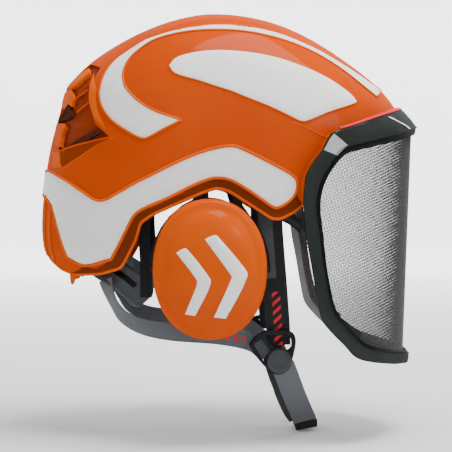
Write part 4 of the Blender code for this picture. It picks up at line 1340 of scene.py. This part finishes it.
def build_harness():
    """The headband, its sweatband and the two webs over the crown."""
    section = (
        (0.5, 0.5), (0.2, 0.44), (0.0, 0.36), (0.5, 0.3), (0.5, -0.3), (0.0, -0.36), (0.2, -0.44),
        (0.5, -0.5),
        (1.7, -0.5), (2.2, -0.42), (2.2, 0.42), (1.7, 0.5),
    )
    rings = [[band_point(2 * k, inset, BAND_HEIGHT * h) for inset, h in section] for k in range(180)]
    put(loft("head_hoop", rings, LOOK["black"], closed=True, sharp=40), "helmet", "black_plastic", "headband")

    rings = []
    for k in range(64):
        angle = -63 + 126 * k / 63
        puff = 0.5 * abs(math.sin(math.radians(angle * 5))) if abs(k - 31.5) < 31 else 0
        half = (BAND_HEIGHT + 3) / 2 * min(1, 0.72 + min(k, 63 - k) * 0.1)
        section = (
            (2.6, 0.9), (2.6, -0.9), (3.3, -1.0), (5.2, -0.9), (6.2 + puff, -0.5), (6.4 + puff, 0),
            (6.2 + puff, 0.5), (5.2, 0.9), (3.3, 1.0),
        )
        rings.append([band_point(angle, inset, half * h) for inset, h in section])
    pad = plump(loft("brow_sweatband", rings, LOOK["pad"], sharp=70), 1.9, 2.0, 0.5)
    put(pad, "helmet", "foam", "brow_pad")

    cross_depth, long_depth = 19.5, 22.5
    top_z = SHELL_ROWS[0][0]
    down = [6, 5.5, 5, 4.5, 4, 3.5, 3, 2.5, 2, 1.6, 1.3]
    arch = [on_shell(s, 90, -cross_depth) for s in [6.6, 6.3] + down]
    arch += [Vector((3, 0, top_z - cross_depth))] + [Vector((p.x, -p.y, p.z)) for p in reversed(arch)]
    front = [on_shell(s, 0, -long_depth) for s in [5.9] + down[1:]]
    rear = [on_shell(s, 180, -long_depth) for s in down[::-1] + [6.5, 7]]
    ridge = front + [Vector((3, 0, top_z - long_depth))] + rear
    for label, path, across in (("cross", arch, (1, 0, 0)), ("long", ridge, (0, 1, 0))):
        web = ribbon(f"crown_web_{label}", path, [Vector(across)] * len(path), 24, 1.5, LOOK["webbing_plain"])
        put(web, "helmet", "black_webbing", f"crown_strap_{label}")


NAPE_X = -97.0
KNOB_CENTRE_Z = -30.0


def outward_axes(path, across, i):
    """The strap's axes, with its face turned away from the wearer's head."""
    side, up = strap_axes(path, across, i)
    if up.dot(Vector((path[i].x, path[i].y, 0))) < 0:
        up.negate()
    return side, up


def build_nape():
    """The grey wings of the nape cradle with their slots, and the cushion inside."""
    wing = [
        ((-45.5, 66, -65), (0.72, 0, 0.62)), ((-56, 64.5, -54), (0.72, 0, 0.66)),
        ((-69, 60, -44.5), (0.5, 0, 0.8)),
        ((-83, 48, -37), (0.2, 0, 1)), ((-93.5, 28, -32), (0, 0, 1)), ((NAPE_X, 8, KNOB_CENTRE_Z), (0, 0, 1)),
    ]
    whole = [(Vector((x, -y, z)), Vector(a)) for (x, y, z), a in wing]
    whole += [(Vector(p), Vector(a)) for p, a in reversed(wing)]
    path = spline([p for p, _ in whole], 9)
    across = spline([a for _, a in whole], 9)
    section = (
        (-1.0, 0.5), (-0.95, 1.0), (-0.8, 1.25), (-0.66, 0.7), (-0.2, 0.5), (0.2, 0.5), (0.66, 0.7),
        (0.8, 1.25),
        (0.95, 1.0), (1.0, 0.5), (1.0, -0.6), (0.9, -1.0), (-0.9, -1.0), (-1.0, -0.6),
    )
    rings = []
    for i, centre in enumerate(path):
        out, up = outward_axes(path, across, i)
        ends = min(i, len(path) - 1 - i)
        width = 11 * (1.0 if ends > 3 else (0.6, 0.82, 0.93, 0.98)[ends])
        rings.append([centre + out * u * width + up * h * 1.3 for u, h in section])
    cradle = loft("nape_wing", rings, LOOK["nape_grey"], sharp=40)
    put(cradle, "helmet", "grey_plastic", "nape_cradle")
    widths = ((8, 1.2), (8, 2.0), (10, 2.2), (14, 2.2), (18, 2.2), (20, 2.0), (21, 1.2))
    for name, side in SIDES:
        flip = Vector((1, -side, 1))
        line = [p * flip for p in path]
        tilt = [a * flip for a in across]
        slot = []
        for i, w in widths:
            out, up = outward_axes(line, tilt, i)
            box = ((-1, 0.2), (-1, 1.0), (1, 1.0), (1, 0.2))
            slot.append([line[i] + out * (1.6 + u * w) + up * h for u, h in box])
        put(loft(f"wing_slot_{name}", slot, LOOK["visor_lip"]), "helmet", "grey_plastic")
    inner = [p + Vector((4.4, 0, 0)) for p in path if abs(p.y) < 30]
    pillow = (
        (-0.9, -2), (-1.0, -1.2), (-1.0, 0.8), (-0.8, 1.8), (0, 2.1), (0.8, 1.8), (1.0, 0.8),
        (1.0, -1.2), (0.9, -2),
    )
    rings = []
    for i, centre in enumerate(inner):
        ends = min(i, len(inner) - 1 - i)
        width = 12 * (1.0 if ends > 2 else (0.7, 0.88, 0.96)[ends])
        rings.append([centre + Vector((h, 0, u * width)) for u, h in pillow])
    pad = plump(loft("nape_cushion", rings, LOOK["pad"], sharp=70), 1.7, 2.0, 0.5)
    put(pad, "helmet", "foam", "nape_pad")


def build_divider(name, side):
    """A three-cornered frame where the straps meet, and its round cap."""
    centre_x, centre_z = 48.5, -102.5
    triangle = (
        (-16, 4), (-14, 9), (-5, 15.5), (15, 15), (18.5, 11), (18.5, 3), (13, -14), (6, -17.5), (-2, -14),
    )
    holes = (
        ((-3.4, 12.4), (14.2, 11.8), (15.2, 9.2), (15.0, 3.4), (10, 0.6), (3, 2.6), (-0.6, 5)),
        ((-12.6, 4.4), (-11.2, 6.8), (-6.8, 9.4), (-3.6, 5), (-0.6, 0), (-1.8, -7.4), (-4.4, -8.6)),
    )
    outline = smooth_outline([(centre_x + x, centre_z + z) for x, z in triangle], 4, 70)
    plate = slab(f"divider_frame_{name}", outline, side * 75.4, side * 78.2, LOOK["black"])
    for hole in holes:
        cut = smooth_outline([(centre_x + x, centre_z + z) for x, z in hole], 3, 60)
        carve(plate, cut, *sorted((side * 70, side * 85)))
    put(soften(plate, 0.55), "helmet", "grey_plastic", f"strap_divider_{name}")
    profile = ((8.6, 78.3), (9.3, 78.8), (9.4, 79.8), (9.0, 80.6), (8.2, 80.9), (6.0, 80.7), (2.0, 80.6))
    turns = [360 * k / 56 for k in range(56)]
    rings = [
        [(x, side * y, z) for x, z in arc((centre_x + 6.4, centre_z - 7.2), radius, turns)]
        for radius, y in profile
    ]
    put(loft(f"cap_{name}", rings, LOOK["charcoal"]), "helmet", "grey_plastic", f"divider_cap_{name}")


def build_chin_strap():
    """Front, rear and lower straps on both sides, each as rows of (place, direction across)."""
    level = (1, 0, 0.05)
    front = [
        ((47, 88.1, 34), level), ((47.2, 88.1, 8), level), ((48.4, 87.2, -16), level),
        ((51.2, 82, -48), level), ((54, 74.4, -82), level), ((54.6, 73.4, -98), level),
    ]
    guard = [
        ((43.6, 89.9, 10), level), ((43.8, 89.85, 0), level), ((44.6, 89.1, -16), level),
        ((47.2, 84.4, -47), level),
    ]
    rear = [
        ((-77, 57.5, -49), (0.75, 0.6, 0.2)), ((-74.5, 59, -58), (0.6, 0.8, 0.1)),
        ((-70, 60.4, -68), (0.5, 0.9, 0.2)),
        ((-62, 63, -78), (0.5, 0.7, 0.5)), ((-47, 66, -85), (0.1, 0.5, 1)), ((-24, 69, -88.6), (0.1, 0.2, 1)),
        ((10, 71.4, -91), (0.1, 0.1, 1)), ((34, 71.8, -96), (0.3, 0.05, 1)),
        ((46, 71.8, -105), (0.7, 0.05, 0.8)),
    ]
    lower = [
        ((57.6, 73.6, -113), (1, 0, 0.45)), ((62, 64, -124), (1, 0, 0.42)), ((67.4, 49, -138), (1, 0, 0.36)),
        ((73.4, 32, -152), (1, 0, 0.28)), ((78, 21, -162.6), (1, 0, 0.2)),
    ]
    # The front strap's far end shows through the divider, and its tail lies beside the lower strap.
    tail = [
        ((53.2, 71.8, -106), (1, 0, 0.3)), ((55.2, 69.4, -114), (1, 0, 0.45)),
        ((57.6, 61.4, -125), (1, 0, 0.42)),
        ((62.2, 46.6, -139), (1, 0, 0.36)), ((68.6, 29.8, -153), (1, 0, 0.28)),
        ((73.6, 20.6, -161), (1, 0, 0.2)),
    ]
    straps = (
        ("front_web", front, 12, 18, 1.4, "webbing_black", "black_webbing", "front_strap"),
        ("guard_sleeve", guard, 10, 10.6, 1.0, "charcoal", "grey_plastic", "strap_guard"),
        ("rear_web", rear, 12, 14, 1.4, "webbing_marked", "grey_webbing", "rear_strap"),
        ("lower_web", lower, 10, 18, 1.4, "webbing_grey", "grey_webbing", "lower_strap"),
        ("tail_web", tail, 8, 17, 1.0, "webbing_plain", "grey_webbing", None),
    )
    for name, side in SIDES:
        for label, rows, steps, width, wall, look, slot, node in straps:
            piece = strap(f"{label}_{name}", rows, side, steps, width, wall, LOOK[look])
            put(piece, "helmet", slot, *([f"{node}_{name}"] if node else []))
        build_divider(name, side)


BUCKLE_CENTRE = (79.5, -167.0)


def build_buckle():
    """A side-release buckle: the case with its well, the ribbed plug and the red button."""
    bx, bz = BUCKLE_CENTRE
    outline = ((bx - 8.5, bz - 4), (bx + 8.5, bz - 1), (bx + 8.5, bz + 5), (bx - 8.5, bz + 2))
    well = ((bx - 3.6, bz - 0.5), (bx + 3.6, bz - 0.5), (bx + 3.6, bz + 12), (bx - 3.6, bz + 12))
    rib = ((bx - 8.9, bz - 3.4), (bx + 8.9, bz - 0.4), (bx + 8.9, bz + 4.6), (bx - 8.9, bz + 1.6))
    key = ((bx - 3.2, bz + 1.2), (bx + 3.2, bz + 1.2), (bx + 3.2, bz + 5), (bx - 3.2, bz + 5))
    body = carve(slab("buckle_case", outline, -19, 4, LOOK["black"]), well, -12, -4)
    put(soften(body, 0.9, 3), "helmet", "black_plastic", "buckle_body")
    tongue = slab("buckle_plug", outline, 4.3, 19, LOOK["black"])
    put(soften(tongue, 0.9, 3), "helmet", "black_plastic", "buckle_tongue")
    for k in range(4):
        y = 8.0 + k * 2.6
        ridge = slab(f"plug_rib_{k}", rib, y, y + 1.1, LOOK["black"])
        put(soften(ridge, 0.3), "helmet", "black_plastic")
    button = slab("release_button", key, -11.6, -4.4, LOOK["red"])
    put(soften(button, 0.7, 3), "button", "red_seal", "buckle_button")


def build_knob():
    """A rubbery ratchet knob with finger ribs."""
    face = NAPE_X - 7.4
    fingers = 18
    profile = (
        (0, 11.2, 0.5), (0.5, 11.7, 0.9), (4.6, 11.8, 0.9), (5.8, 11.3, 0.7), (6.7, 10.2, 0.3), (7.0, 8.6, 0),
        (6.2, 7.4, 0), (6.0, 5, 0), (6.0, 1.5, 0),
    )
    rings = []
    for back, radius, deep in profile:
        ring = []
        for k in range(144):
            turn = 2 * math.pi * k / 144
            reach = radius - deep * (0.5 + 0.5 * math.cos(fingers * turn))
            ring.append((face - back, reach * math.cos(turn), KNOB_CENTRE_Z + reach * math.sin(turn)))
        rings.append(ring)
    put(loft("knob_grip", rings, LOOK["charcoal"], sharp=50), "knob", "black_plastic", "ratchet_knob")


CAD_LOOKS = {
    "black": ("hanger_front", "hanger_rear", "side_carrier", "cradle_arm", "muff_yoke"),
    "steel": ("visor_hub", "muff_hinge_pin", "cup_pin_front", "cup_pin_rear"),
}


def dress_cad():
    """Gives the CAD parts that stay on show their materials."""
    looks = {"ratchet_housing": "black", "ratchet_pinion": "charcoal"}
    for look, names in CAD_LOOKS.items():
        looks.update({f"{name}_{side}": look for name in names for side, _ in SIDES})
    for name, look in looks.items():
        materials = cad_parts[name].data.materials
        materials.clear()
        materials.append(LOOK[look])


build_shells()
build_films()
build_rim()
build_rear_details()
build_creases()
build_vent_insert()
build_liner()
build_visor_frame()
build_visor_arms()
build_visor_wires()
build_cups()
build_cushions()
build_harness()
build_nape()
build_chin_strap()
build_buckle()
build_knob()
dress_cad()


# ---- studio


def softbox(name, place, aim, size, power):
    data = bpy.data.lights.new(name, "AREA")
    data.shape = "RECTANGLE"
    data.size, data.size_y = (s * MM for s in size)
    data.energy = power
    lamp = bpy.data.objects.new(name, data)
    lamp.location = Vector(place) * MM
    lamp.rotation_euler = (Vector(aim) - Vector(place)).to_track_quat("-Z", "Y").to_euler()
    bpy.context.scene.collection.objects.link(lamp)


def build_studio():
    """A round paper bowl that glows on the far side, three softboxes and a faint world light."""
    floor_z = cad_box[0].z / MM - 1.0
    floor_radius, corner, turn = 3000, 600, 96
    profile = [(60 + (floor_radius - 60) * k / 8, floor_z) for k in range(9)]
    profile += arc((floor_radius, floor_z + corner), corner, range(-80, 1, 10))
    profile.append((floor_radius + corner, floor_z + 3600))
    verts = [
        (r * math.cos(2 * math.pi * k / turn), r * math.sin(2 * math.pi * k / turn), z)
        for r, z in profile
        for k in range(turn)
    ]
    faces = [tuple(range(turn))] + grid_faces(len(profile), turn, wrap=True)
    f = Finish("studio_paper", (0.76, 0.76, 0.76), 0.9)
    f.shader.inputs["Emission Color"].default_value = (1, 1, 1, 1)
    depth = f.node("ShaderNodeSeparateXYZ")
    f.link(f.place(), depth.inputs[0])
    glow = f.ramp(depth.outputs[1], 0.0, 2.6, 0.05, 2.4)
    f.link(glow, f.shader.inputs["Emission Strength"])
    f.vary_roughness(f.noise(8, 2), 0.85, 0.95)
    make("studio_sweep", verts, faces, f.material)

    softbox("top_box", (260, -200, 1000), (20, 0, 60), (700, 600), 20)
    softbox("key_box", (900, -850, 700), (20, 0, 20), (500, 400), 3)
    softbox("fill_box", (-900, -1000, 250), (0, 0, 0), (900, 900), 0.2)
    world = bpy.data.worlds.new("studio_air")
    world.use_nodes = True
    world.node_tree.nodes["Background"].inputs["Color"].default_value = (1, 1, 1, 1)
    world.node_tree.nodes["Background"].inputs["Strength"].default_value = 0.04
    bpy.context.scene.world = world


build_studio()
